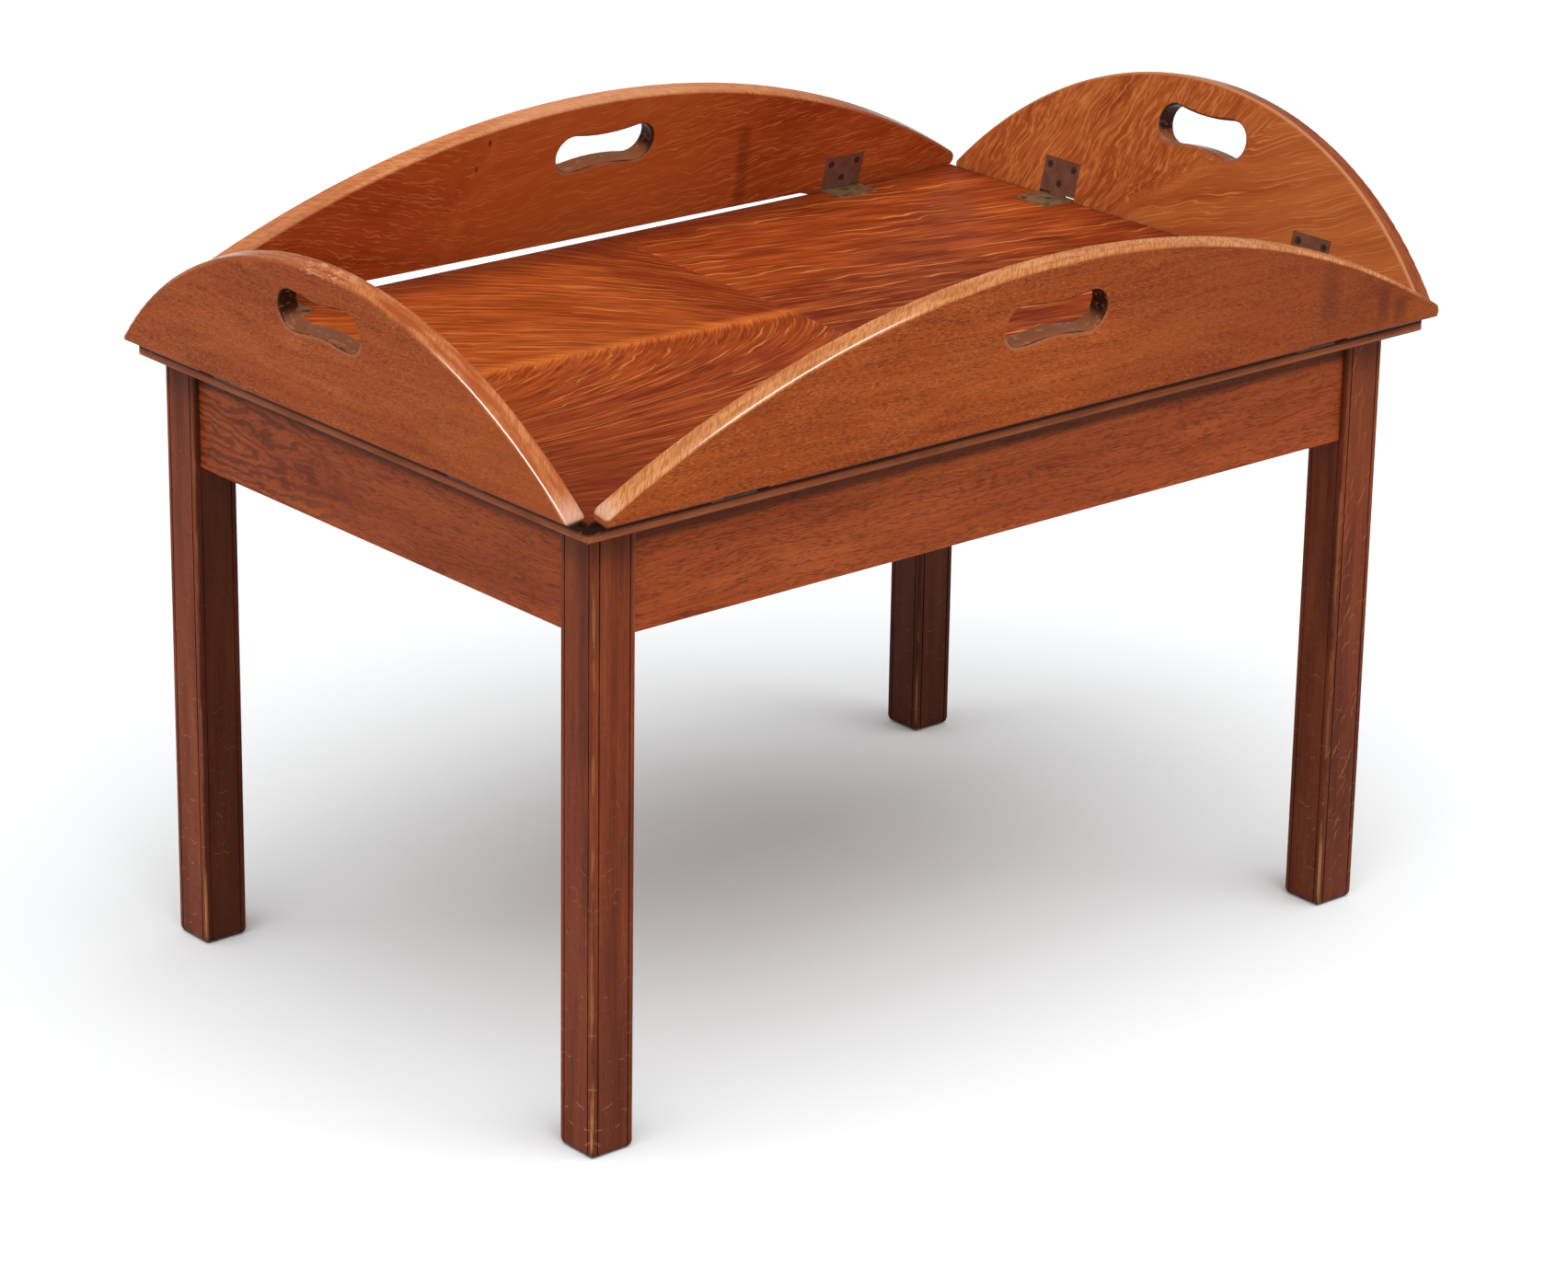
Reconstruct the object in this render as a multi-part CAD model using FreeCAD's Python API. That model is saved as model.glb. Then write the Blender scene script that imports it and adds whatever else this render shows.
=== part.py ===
import FreeCAD, Part
import math
import os

# Butler's tray table: a stand of four beaded legs tenoned to four aprons, and a loose
# veneered tray with four hinged leaves that stand up as a gallery or fold down flat.
# Millimetres. The origin is on the floor midway between the four feet, +X runs along the
# long side, +Y to the back and +Z up.

# Tray: a flat core, quarter-matched top veneers and mitred solid lippings
tray_length = 762.0
tray_width = 508.0
tray_thickness = 14.4
tray_top_height = 453.0
tray_corner_radius = 5.0
veneer_thickness = 1.0
lipping_width = 12.0
edge_top_round = 3.0
edge_bottom_round = 5.0

# The four veneers meet a little off the tray's middle, on seams laid slightly askew
seam_shift_right = 21.0
seam_shift_back = 23.0
seam_turn_degrees = -4.0

# Battens screwed under the tray, which drop inside the aprons and keep the tray in place
batten_width = 30.0
batten_depth = 18.0
batten_arris = 2.0
batten_clearance = 6.0
batten_screw_inset = 25.0
batten_screw_bite = 9.0
batten_screw_count = 3

# The loose tray overhangs the stand all round and sits a little off centre on it
tray_end_overhang = 23.0
tray_side_overhang = 13.5
tray_shift_right = 3.4
tray_shift_forward = 4.5

# Stand: legs with a bead and two quirks on every corner, aprons tenoned between them
leg_size = 32.0
bead_width = 4.0
quirk_width = 1.0
quirk_depth = 1.3
foot_chamfer = 1.5
apron_depth = 76.0
apron_thickness = 20.0
apron_setback = 3.5
apron_arris = 1.2
tenon_thickness = 8.0
tenon_foot_shoulder = 8.0
tenon_head_shoulder = 12.0
tenon_meeting_gap = 0.5
mortise_clearance = 0.1
corner_block_leg = 50.0
corner_block_height = 45.0
corner_block_drop = 4.0

# Leaves: arched boards with a waisted hand-hold, a little shorter than the tray's edges.
# The heights of the crown and the hand-hold are measured from the hinge pins.
leaf_thickness = 16.0
side_leaf_end_gap = 3.0
side_leaf_crown = 119.4
side_leaf_tip_radius = 7.0
side_leaf_tip_height = 5.0
end_leaf_end_gap = 5.0
end_leaf_crown = 119.2
end_leaf_tip_radius = 4.0
end_leaf_tip_height = 2.5
leaf_edge_round = 2.5
hinge_edge_round = 4.0
slot_length = 90.0
slot_end_height = 28.5
slot_waist_height = 23.0
slot_edge_round = 2.0

# How each leaf hangs: its lean outwards from upright, its slide off the middle of its side,
# to the right as seen from the tray, and the height of its hinge edge over the pins
leaf_lean_degrees = {"front": 8.5, "back": -14.0, "left": 7.8, "right": 12.7}
leaf_slide = {"front": 0.6, "back": 5.3, "left": -4.5, "right": -1.1}
leaf_joint_gap = {"front": 4.8, "back": 1.9, "left": 5.7, "right": 0.6}

# The hand-holds were sawn by eye: each one's shift to the right of its leaf's middle and its height
slot_shift = {"front": 7.0, "back": 14.7, "left": 0.2, "right": 4.7}
slot_centre_height = {"front": 79.0, "back": 79.3, "left": 83.5, "right": 80.9}

# The back leaf's hinge edge is planed to a wedge between its hinges and shows daylight
relief_left_rise = 6.9
relief_right_rise = 2.9
relief_run_out = 9.0
relief_hinge_margin = 12.0

# Hinges: one plate let into the tray and one into the leaf, three knuckles and a pin
hinge_width = 38.0
hinge_reach = 28.0
hinge_plate_thickness = 2.0
tray_plate_corner_radius = 8.0
leaf_plate_corner_radius = 1.0
knuckle_radius = 2.6
middle_knuckle_length = 16.0
knuckle_side_clearance = 0.2
knuckle_relief = 3.6
knuckle_pocket_clearance = 0.5
pin_radius = 1.2
pin_drop = 2.3
pin_press_clearance = 0.01
pin_running_clearance = 0.05
leaf_notch_height = 3.0
plate_clearance = 0.1
side_hinge_inset = 116.0
end_hinge_inset = 121.0

# Countersunk slotted screws
screw_head_radius = 3.0
screw_shank_radius = 1.5
screw_slot_width = 0.8
screw_slot_depth = 0.7
screw_hole_clearance = 0.05
hinge_screw_bite = 7.0
hinge_screw_inset = 6.0
hinge_middle_screw_reach = 9.0

# One overrun for every cut that runs past a face
cut_overrun = 1.0

# Each side is built facing +Y, with X along it, and turned into place about Z
side_turn_degrees = {"back": 0.0, "left": 90.0, "front": 180.0, "right": -90.0}
corner_signs = {"front_left": (-1, -1), "front_right": (1, -1), "back_left": (-1, 1), "back_right": (1, 1)}
quarter_turn_degrees = 90.0

frame_length = tray_length - 2 * tray_end_overhang
frame_width = tray_width - 2 * tray_side_overhang
tray_bottom_height = tray_top_height - tray_thickness
core_top_height = tray_top_height - veneer_thickness
pin_height = tray_top_height - pin_drop
apron_inset = apron_setback + apron_thickness
tenon_length = leg_size - apron_setback - (apron_thickness + tenon_thickness) / 2 - tenon_meeting_gap
screw_head_depth = screw_head_radius - screw_shank_radius

Vector = FreeCAD.Vector
x_axis = Vector(1, 0, 0)
y_axis = Vector(0, 1, 0)
z_axis = Vector(0, 0, 1)
centre = Vector(0, 0, 0)


def is_end(side):
    return side in ("left", "right")


def edge_distance(side):
    """Distance from the tray's centre to its edge on this side."""
    return (tray_length if is_end(side) else tray_width) / 2


def edge_length(side):
    return tray_width if is_end(side) else tray_length


def pin_distance(side):
    return edge_distance(side) + pin_drop


def hinge_offset(side):
    """Distance of a side's two hinges from its middle."""
    return edge_length(side) / 2 - (end_hinge_inset if is_end(side) else side_hinge_inset)


def block(x_span, y_span, z_span):
    """Box between the low and high values of each span."""
    sizes = [high - low for low, high in (x_span, y_span, z_span)]
    return Part.makeBox(*sizes, Vector(x_span[0], y_span[0], z_span[0]))


def even(half):
    return (-half, half)


def prism(points, direction):
    """Solid swept from a closed polygon of points."""
    return Part.Face(Part.makePolygon(points + points[:1])).extrude(direction)


def rod(radius, x_span, y, z):
    """Round bar along X."""
    return Part.makeCylinder(radius, x_span[1] - x_span[0], Vector(x_span[0], y, z), x_axis)


def arc_edge(start, middle, end):
    return Part.Arc(start, middle, end).toShape()


def line_edge(start, end):
    return Part.LineSegment(start, end).toShape()


def turned(shape, side):
    """A shape built facing +Y, turned to its side of the table."""
    return shape.rotated(centre, z_axis, side_turn_degrees[side])


def leaned(shape, side):
    """A leaf piece built upright, leaned outwards about its hinge pins."""
    pivot = Vector(0, pin_distance(side), pin_height)
    return shape.rotated(pivot, x_axis, -leaf_lean_degrees[side])


def at_hinges(shape, side):
    """The two copies of a hinge piece along a side."""
    offset = hinge_offset(side)
    return [shape.translated(Vector(sign * offset, 0, 0)) for sign in (-1, 1)]


def screw(length, clearance=0.0):
    """Countersunk screw with its head at the origin and its shank down -Z."""
    head = screw_head_radius + clearance
    shank = screw_shank_radius + clearance
    depth = length + clearance
    section = [
        Vector(0, 0, 0),
        Vector(head, 0, 0),
        Vector(shank, 0, -screw_head_depth),
        Vector(shank, 0, -depth),
        Vector(0, 0, -depth),
    ]
    profile = Part.Face(Part.makePolygon(section + section[:1]))
    return profile.revolve(centre, z_axis, 4 * quarter_turn_degrees)


def slotted_screw(length):
    reach = screw_head_radius + cut_overrun
    slot = block(even(reach), even(screw_slot_width / 2), (-screw_slot_depth, cut_overrun))
    return screw(length).cut(slot)


# Stand

def leg_section():
    """Square section with a rounded bead between two quirks at every corner."""
    half = leg_size / 2
    bead_radius = bead_width / 2
    inner = half - bead_width - quirk_width
    outer = half - bead_width
    floor = half - quirk_depth
    bend = half - bead_radius
    crown = bend + bead_radius * math.cos(math.radians(quarter_turn_degrees / 2))
    corner = [
        line_edge(Vector(half, inner), Vector(floor, inner)),
        line_edge(Vector(floor, inner), Vector(floor, outer)),
        line_edge(Vector(floor, outer), Vector(half, outer)),
        line_edge(Vector(half, outer), Vector(half, bend)),
        arc_edge(Vector(half, bend), Vector(crown, crown), Vector(bend, half)),
        line_edge(Vector(bend, half), Vector(outer, half)),
        line_edge(Vector(outer, half), Vector(outer, floor)),
        line_edge(Vector(outer, floor), Vector(inner, floor)),
        line_edge(Vector(inner, floor), Vector(inner, half)),
        line_edge(Vector(inner, half), Vector(-inner, half)),
    ]
    turns = [quarter_turn_degrees * count for count in range(4)]
    edges = [edge.rotated(centre, z_axis, turn) for turn in turns for edge in corner]
    return Part.Face(Part.Wire(edges))


def foot_envelope():
    """The leg's square with its foot chamfered all round."""
    half = leg_size / 2
    reach = half + cut_overrun

    def square(size, height):
        corners = [Vector(size * x, size * y, height) for x, y in ((-1, -1), (1, -1), (1, 1), (-1, 1))]
        return Part.makePolygon(corners + corners[:1])

    foot = Part.makeLoft([square(half - foot_chamfer, 0), square(half, foot_chamfer)], True, True)
    return foot.fuse(block(even(reach), even(reach), (foot_chamfer, tray_top_height)))


def tenons(side, clearance=0.0):
    """The two tenons of a side's apron, or with a clearance their mortises."""
    shoulder = apron_span(side)
    outer = frame_distance(side) - apron_setback - (apron_thickness - tenon_thickness) / 2
    bottom = tray_bottom_height - apron_depth + tenon_foot_shoulder
    top = tray_bottom_height - tenon_head_shoulder
    tenon = block(
        (shoulder, shoulder + tenon_length + clearance),
        (outer - tenon_thickness - clearance, outer + clearance),
        (bottom - clearance, top + clearance),
    )
    return [tenon, tenon.mirror(centre, x_axis)]


def frame_distance(side):
    return (frame_length if is_end(side) else frame_width) / 2


def apron_span(side):
    """Half the apron's length between the legs."""
    return (frame_width if is_end(side) else frame_length) / 2 - leg_size


def make_apron(side):
    outer = frame_distance(side) - apron_setback
    bottom = tray_bottom_height - apron_depth
    board = block(even(apron_span(side)), (outer - apron_thickness, outer), (bottom, tray_bottom_height))
    lower = [edge for edge in board.Edges if edge.BoundBox.ZMax < tray_bottom_height - apron_depth / 2]
    long_lower = [edge for edge in lower if edge.Length > apron_span(side)]
    board = board.makeFillet(apron_arris, long_lower)
    return turned(board.fuse(tenons(side)), side)


def make_leg(signs):
    place = Vector(
        signs[0] * (frame_length - leg_size) / 2,
        signs[1] * (frame_width - leg_size) / 2,
        0,
    )
    leg = leg_section().extrude(Vector(0, 0, tray_bottom_height)).common(foot_envelope())
    mortises = [turned(tool, side) for side in side_turn_degrees for tool in tenons(side, mortise_clearance)]
    return leg.translated(place).cut(mortises)


def make_corner_block(signs):
    """Glue block across the inside of a corner, notched round the leg."""
    top = tray_bottom_height - corner_block_drop
    corner = Vector(frame_length / 2 - apron_inset, frame_width / 2 - apron_inset, top - corner_block_height)
    triangle = [
        corner,
        corner - x_axis * corner_block_leg,
        corner - y_axis * corner_block_leg,
    ]
    wedge = prism(triangle, Vector(0, 0, corner_block_height))
    leg_box = block(
        (frame_length / 2 - leg_size, frame_length / 2),
        (frame_width / 2 - leg_size, frame_width / 2),
        (0, tray_bottom_height),
    )
    brace = wedge.cut(leg_box)
    if signs[0] < 0:
        brace = brace.mirror(centre, x_axis)
    if signs[1] < 0:
        brace = brace.mirror(centre, y_axis)
    return brace


# Hinges, built upright on a side that faces +Y and centred on X

def inboard_corners(plate, side):
    """Upright edges of a tray plate, or of its recess, away from the tray's edge."""
    middle = edge_distance(side) - hinge_reach / 2
    upright = [edge for edge in plate.Edges if edge.BoundBox.ZLength > hinge_plate_thickness / 2]
    return [edge for edge in upright if edge.BoundBox.YMax < middle]


def upper_corners(plate):
    """Edges through the thickness of a leaf plate at its upper end."""
    middle = tray_top_height + hinge_reach / 2
    through = [edge for edge in plate.Edges if edge.BoundBox.YLength > hinge_plate_thickness / 2]
    return [edge for edge in through if edge.BoundBox.ZMin > middle]


def tray_plate(side):
    """Plate let into the tray, with the two outer knuckles."""
    edge = edge_distance(side)
    half = hinge_width / 2
    plate = block(
        even(half),
        (edge - hinge_reach, pin_distance(side)),
        (tray_top_height - hinge_plate_thickness, tray_top_height),
    )
    plate = plate.makeFillet(tray_plate_corner_radius, inboard_corners(plate, side))
    inner_end = middle_knuckle_length / 2 + knuckle_side_clearance
    gap = block(
        even(inner_end),
        (pin_distance(side) - knuckle_relief, pin_distance(side) + cut_overrun),
        (pin_height - knuckle_radius - cut_overrun, tray_top_height + cut_overrun),
    )
    knuckles = [
        rod(knuckle_radius, span, pin_distance(side), pin_height)
        for span in ((-half, -inner_end), (inner_end, half))
    ]
    bore = rod(pin_radius + pin_press_clearance, even(half + cut_overrun), pin_distance(side), pin_height)
    return plate.cut(gap).fuse(knuckles).cut([bore] + tray_screw_tools(side))


def leaf_plate(side):
    """Plate let into the leaf's inner face, with the middle knuckle."""
    face = edge_distance(side)
    half = hinge_width / 2
    top = tray_top_height + hinge_reach
    plate = block(
        even(half),
        (face, face + hinge_plate_thickness),
        (pin_height + knuckle_relief, top),
    )
    plate = plate.makeFillet(leaf_plate_corner_radius, upper_corners(plate))
    middle = even(middle_knuckle_length / 2)
    strip = block(
        middle,
        (face, face + hinge_plate_thickness),
        (pin_height, pin_height + knuckle_relief + hinge_plate_thickness),
    )
    knuckle = rod(knuckle_radius, middle, pin_distance(side), pin_height)
    bore_span = even(middle_knuckle_length / 2 + cut_overrun)
    bore = rod(pin_radius + pin_running_clearance, bore_span, pin_distance(side), pin_height)
    return plate.fuse([strip, knuckle]).cut([bore] + leaf_screw_tools(side))


def hinge_pin(side):
    return rod(pin_radius, even(hinge_width / 2), pin_distance(side), pin_height)


def screw_places(reach):
    """Places along a plate and away from the tray's edge for its three screws."""
    corner = hinge_width / 2 - hinge_screw_inset
    far = reach - hinge_screw_inset
    return [(-corner, far), (corner, far), (0, hinge_middle_screw_reach)]


def in_tray_plate(shape, side):
    edge = edge_distance(side)
    return [
        shape.translated(Vector(x, edge - away, tray_top_height))
        for x, away in screw_places(hinge_reach)
    ]


def in_leaf_plate(shape, side):
    upright = shape.rotated(centre, x_axis, quarter_turn_degrees)
    face = edge_distance(side)
    return [
        upright.translated(Vector(x, face, tray_top_height + away))
        for x, away in screw_places(hinge_reach)
    ]


def hinge_screw_length():
    return hinge_plate_thickness + hinge_screw_bite


def tray_screw_tools(side):
    return in_tray_plate(screw(hinge_screw_length(), screw_hole_clearance), side)


def leaf_screw_tools(side):
    return in_leaf_plate(screw(hinge_screw_length(), screw_hole_clearance), side)


def tray_hinge_tools(side):
    """Recess, knuckle pocket and screw holes that one hinge needs in the tray."""
    edge = edge_distance(side)
    half = hinge_width / 2 + plate_clearance
    seat = tray_top_height - hinge_plate_thickness
    recess = block(
        even(half),
        (edge - hinge_reach - plate_clearance, edge + cut_overrun),
        (seat, tray_top_height + cut_overrun),
    )
    recess = recess.makeFillet(tray_plate_corner_radius, inboard_corners(recess, side))
    pocket = block(
        even(half),
        (pin_distance(side) - knuckle_relief, edge + cut_overrun),
        (pin_height - knuckle_radius - knuckle_pocket_clearance, tray_top_height + cut_overrun),
    )
    return [recess, pocket] + tray_screw_tools(side)


def leaf_hinge_tools(side):
    """Recess, knuckle notch and screw holes that one hinge needs in its leaf."""
    face = edge_distance(side)
    half = hinge_width / 2 + plate_clearance
    bottom = pin_height + leaf_joint_gap[side]
    recess = block(
        even(half),
        (face - cut_overrun, face + hinge_plate_thickness),
        (bottom - cut_overrun, tray_top_height + hinge_reach + plate_clearance),
    )
    notch = block(
        even(half),
        (face - cut_overrun, face + leaf_thickness + cut_overrun),
        (bottom - cut_overrun, bottom + leaf_notch_height),
    )
    return [recess, notch] + leaf_screw_tools(side)


# Tray

def tray_outline():
    """The tray's plan with its corners rounded, through its whole thickness."""
    slab = block(even(tray_length / 2), even(tray_width / 2), (tray_bottom_height, tray_top_height))
    upright = [edge for edge in slab.Edges if edge.BoundBox.ZLength > tray_thickness / 2]
    return slab.makeFillet(tray_corner_radius, upright)


def all_tray_hinge_tools():
    tools = []
    for side in side_turn_degrees:
        for tool in tray_hinge_tools(side):
            tools += [turned(copy, side) for copy in at_hinges(tool, side)]
    return tools


def make_core():
    core = block(
        even(tray_length / 2 - lipping_width),
        even(tray_width / 2 - lipping_width),
        (tray_bottom_height, core_top_height),
    )
    return core.cut(all_tray_hinge_tools() + batten_screw_tools())


def make_veneer(signs):
    """One quarter of the top veneer, from its seams to the rounded edge."""
    span = (core_top_height, tray_top_height)
    sheet = block(
        even(tray_length / 2 - edge_top_round),
        even(tray_width / 2 - edge_top_round),
        span,
    )
    quarter = block(sorted((0, signs[0] * tray_length)), sorted((0, signs[1] * tray_length)), span)
    seams_meet = Vector(seam_shift_right, seam_shift_back, 0)
    quarter = quarter.rotated(centre, z_axis, seam_turn_degrees).translated(seams_meet)
    return sheet.common(quarter).cut(all_tray_hinge_tools())


def lipping_profile(side):
    """Edge section: rounded over at the top, more fully below, rebated for the veneer."""
    edge = edge_distance(side)
    start = -edge_length(side) / 2

    def point(inset, height):
        return Vector(start, edge - inset, tray_bottom_height + height)

    lean_in = 1 - math.cos(math.radians(quarter_turn_degrees / 2))
    top = tray_thickness
    seat = tray_thickness - veneer_thickness
    upper = edge_top_round
    lower = edge_bottom_round
    edges = [
        line_edge(point(lower, 0), point(lipping_width, 0)),
        line_edge(point(lipping_width, 0), point(lipping_width, seat)),
        line_edge(point(lipping_width, seat), point(upper, seat)),
        line_edge(point(upper, seat), point(upper, top)),
        arc_edge(point(upper, top), point(upper * lean_in, top - upper * lean_in), point(0, top - upper)),
        line_edge(point(0, top - upper), point(0, lower)),
        arc_edge(point(0, lower), point(lower * lean_in, lower * lean_in), point(lower, 0)),
    ]
    return Part.Face(Part.Wire(edges))


def make_lipping(side):
    edge = edge_distance(side)
    half = edge_length(side) / 2
    strip = lipping_profile(side).extrude(Vector(edge_length(side), 0, 0))
    mitred = prism(
        [
            Vector(-half, edge, tray_bottom_height),
            Vector(half, edge, tray_bottom_height),
            Vector(half - lipping_width, edge - lipping_width, tray_bottom_height),
            Vector(lipping_width - half, edge - lipping_width, tray_bottom_height),
        ],
        Vector(0, 0, tray_thickness),
    )
    lipping = turned(strip.common(mitred), side).common(tray_outline())
    return lipping.cut(all_tray_hinge_tools())


def batten_places():
    """Heads of the screws along one batten, in the batten's own middle line."""
    reach = batten_half_length() - batten_screw_inset
    step = 2 * reach / (batten_screw_count - 1)
    return [-reach + step * index for index in range(batten_screw_count)]


def batten_half_length():
    return frame_width / 2 - apron_inset - corner_block_leg - batten_clearance


def batten_middle():
    return frame_length / 2 - apron_inset - batten_clearance - batten_width / 2


def make_batten(sign):
    batten = block(
        even(batten_width / 2),
        even(batten_half_length()),
        (tray_bottom_height - batten_depth, tray_bottom_height),
    )
    lower = [edge for edge in batten.Edges if edge.BoundBox.ZMax < tray_bottom_height - batten_depth / 2]
    batten = batten.makeChamfer(batten_arris, lower).translated(Vector(sign * batten_middle(), 0, 0))
    return batten.cut(batten_screw_tools())


def in_battens(shape):
    """Copies of an upward screw at every place in both battens."""
    upward = shape.rotated(centre, x_axis, 2 * quarter_turn_degrees)
    head = tray_bottom_height - batten_depth
    return [
        upward.translated(Vector(sign * batten_middle(), y, head))
        for sign in (-1, 1)
        for y in batten_places()
    ]


def batten_screw_length():
    return batten_depth + batten_screw_bite


def batten_screw_tools():
    return in_battens(screw(batten_screw_length(), screw_hole_clearance))


# Leaves

def leaf_tip(side):
    """Radius of a leaf's round tips and the height of their centres over its hinge edge."""
    if is_end(side):
        return end_leaf_tip_radius, end_leaf_tip_height
    return side_leaf_tip_radius, side_leaf_tip_height


def leaf_lens(side, length, rise):
    """Lens-shaped board: the leaf's arch mirrored below its small round tips, edges eased."""
    tip_radius, tip_height = leaf_tip(side)
    tip_x = length / 2 - tip_radius
    drop = rise - tip_height
    arch_radius = (tip_x ** 2 + drop ** 2 - tip_radius ** 2) / (2 * (drop - tip_radius))
    slope = math.atan2(arch_radius - drop, tip_x)

    def on_tip(angle, sign):
        x = tip_x + tip_radius * math.cos(angle)
        return Vector(sign * x, 0, tip_height + tip_radius * math.sin(angle))

    crown = Vector(0, 0, rise)
    trough = Vector(0, 0, tip_height - drop)
    edges = [
        arc_edge(on_tip(-slope, 1), on_tip(0, 1), on_tip(slope, 1)),
        arc_edge(on_tip(slope, 1), crown, on_tip(slope, -1)),
        arc_edge(on_tip(slope, -1), on_tip(0, -1), on_tip(-slope, -1)),
        arc_edge(on_tip(-slope, -1), trough, on_tip(-slope, 1)),
    ]
    board = Part.Face(Part.Wire(edges)).extrude(Vector(0, leaf_thickness, 0))
    return board.makeFillet(leaf_edge_round, curved_edges(board, 0) + curved_edges(board, leaf_thickness))


def hinge_edge_tool(length):
    """What rounding the outer arris of the hinge edge takes off."""
    start = leaf_thickness - hinge_edge_round
    arris = block(even(length), (start, leaf_thickness + cut_overrun), (-cut_overrun, hinge_edge_round))
    return arris.cut(rod(hinge_edge_round, even(length), start, hinge_edge_round))


def slot_outline():
    """Waisted hand-hold: round ends joined by two long sides that bow inwards."""
    end_radius = slot_end_height / 2
    waist = slot_waist_height / 2
    end_x = slot_length / 2 - end_radius
    side_radius = (end_x ** 2 + waist ** 2 - end_radius ** 2) / (2 * (end_radius - waist))
    side_z = waist + side_radius
    reach = end_radius / (end_radius + side_radius)
    join_x = end_x - end_x * reach
    join_z = side_z * reach
    tip_x = slot_length / 2
    edges = [
        arc_edge(Vector(join_x, 0, join_z), Vector(0, 0, waist), Vector(-join_x, 0, join_z)),
        arc_edge(Vector(-join_x, 0, join_z), Vector(-tip_x, 0, 0), Vector(-join_x, 0, -join_z)),
        arc_edge(Vector(-join_x, 0, -join_z), Vector(0, 0, -waist), Vector(join_x, 0, -join_z)),
        arc_edge(Vector(join_x, 0, -join_z), Vector(tip_x, 0, 0), Vector(join_x, 0, join_z)),
    ]
    return Part.Face(Part.Wire(edges))


def relief_outline(side):
    """Corners of the wedge planed off the hinge edge between the hinges."""
    half = hinge_offset(side) - hinge_width / 2 - relief_hinge_margin
    low = -cut_overrun
    return [
        Vector(-half, 0, low),
        Vector(half, 0, low),
        Vector(half, 0, 0),
        Vector(half - relief_run_out, 0, relief_right_rise),
        Vector(relief_run_out - half, 0, relief_left_rise),
        Vector(-half, 0, 0),
    ]


def curved_edges(solid, face_y):
    """Curved edges that lie on the face at this Y."""
    edges = [edge for edge in solid.Edges if isinstance(edge.Curve, Part.Circle)]
    flat = [edge for edge in edges if edge.BoundBox.YLength < cut_overrun]
    return [edge for edge in flat if abs(edge.CenterOfMass.y - face_y) < cut_overrun]


def make_leaf(side):
    end_gap = end_leaf_end_gap if is_end(side) else side_leaf_end_gap
    bottom = leaf_joint_gap[side]
    rise = (end_leaf_crown if is_end(side) else side_leaf_crown) - bottom
    length = edge_length(side) - 2 * end_gap
    through = Vector(0, leaf_thickness, 0)
    below = block(even(length), (-cut_overrun, leaf_thickness + cut_overrun), (-rise, 0))
    slot_place = Vector(slot_shift[side], 0, slot_centre_height[side] - bottom)
    slot = slot_outline().extrude(through).translated(slot_place)
    board = leaf_lens(side, length, rise).cut([below, slot])
    rims = [
        edge for edge in curved_edges(board, 0) + curved_edges(board, leaf_thickness)
        if edge.BoundBox.XLength < slot_length + cut_overrun
        and abs(edge.CenterOfMass.x - slot_place.x) < slot_length / 2
    ]
    board = board.makeFillet(slot_edge_round, rims).cut(hinge_edge_tool(length))
    board = board.translated(Vector(leaf_slide[side], 0, 0))
    if side == "back":
        wedge = prism(relief_outline(side), through * 2).translated(-through / 2)
        board = board.cut(wedge)
    board = board.translated(Vector(0, edge_distance(side), pin_height + bottom))
    tools = [copy for tool in leaf_hinge_tools(side) for copy in at_hinges(tool, side)]
    return turned(leaned(board.cut(tools), side), side)


# Every node and the solids in it

def write(name, shapes):
    """Each node holds one solid, or a group of like solids."""
    solids = [solid for shape in shapes for solid in shape.Solids]
    Part.makeCompound(solids).exportStep("parts/%s.step" % name)


def write_on_tray(name, shapes):
    """A node of the tray or its leaves, set down where the tray sits on the stand."""
    place = Vector(tray_shift_right, -tray_shift_forward, 0)
    write(name, [shape.translated(place) for shape in shapes])


def write_stand():
    for corner, signs in corner_signs.items():
        write("leg_" + corner, [make_leg(signs)])
        write("corner_block_" + corner, [make_corner_block(signs)])
    for side in side_turn_degrees:
        write("apron_" + side, [make_apron(side)])


def write_tray():
    write_on_tray("tray_core", [make_core()])
    for corner, signs in corner_signs.items():
        write_on_tray("veneer_" + corner, [make_veneer(signs)])
    for side in side_turn_degrees:
        write_on_tray("lipping_" + side, [make_lipping(side)])
    write_on_tray("batten_left", [make_batten(-1)])
    write_on_tray("batten_right", [make_batten(1)])
    write_on_tray("batten_screws", in_battens(slotted_screw(batten_screw_length())))


def write_hinges_and_leaf(side):
    fixed = {
        "hinge_tray_plates_": [tray_plate(side)],
        "hinge_pins_": [hinge_pin(side)],
        "hinge_tray_screws_": in_tray_plate(slotted_screw(hinge_screw_length()), side),
    }
    for name, pieces in fixed.items():
        copies = [turned(copy, side) for piece in pieces for copy in at_hinges(piece, side)]
        write_on_tray(name + side, copies)
    swinging = {
        "hinge_leaf_plates_": [leaf_plate(side)],
        "hinge_leaf_screws_": in_leaf_plate(slotted_screw(hinge_screw_length()), side),
    }
    for name, pieces in swinging.items():
        copies = [turned(leaned(copy, side), side) for piece in pieces for copy in at_hinges(piece, side)]
        write_on_tray(name + side, copies)
    write_on_tray("leaf_" + side, [make_leaf(side)])


def main():
    os.makedirs("parts", exist_ok=True)
    write_stand()
    write_tray()
    for side in side_turn_degrees:
        write_hinges_and_leaf(side)


main()
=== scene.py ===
import math
from collections import namedtuple

import bmesh
import bpy
from mathutils import Matrix, Vector


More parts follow.
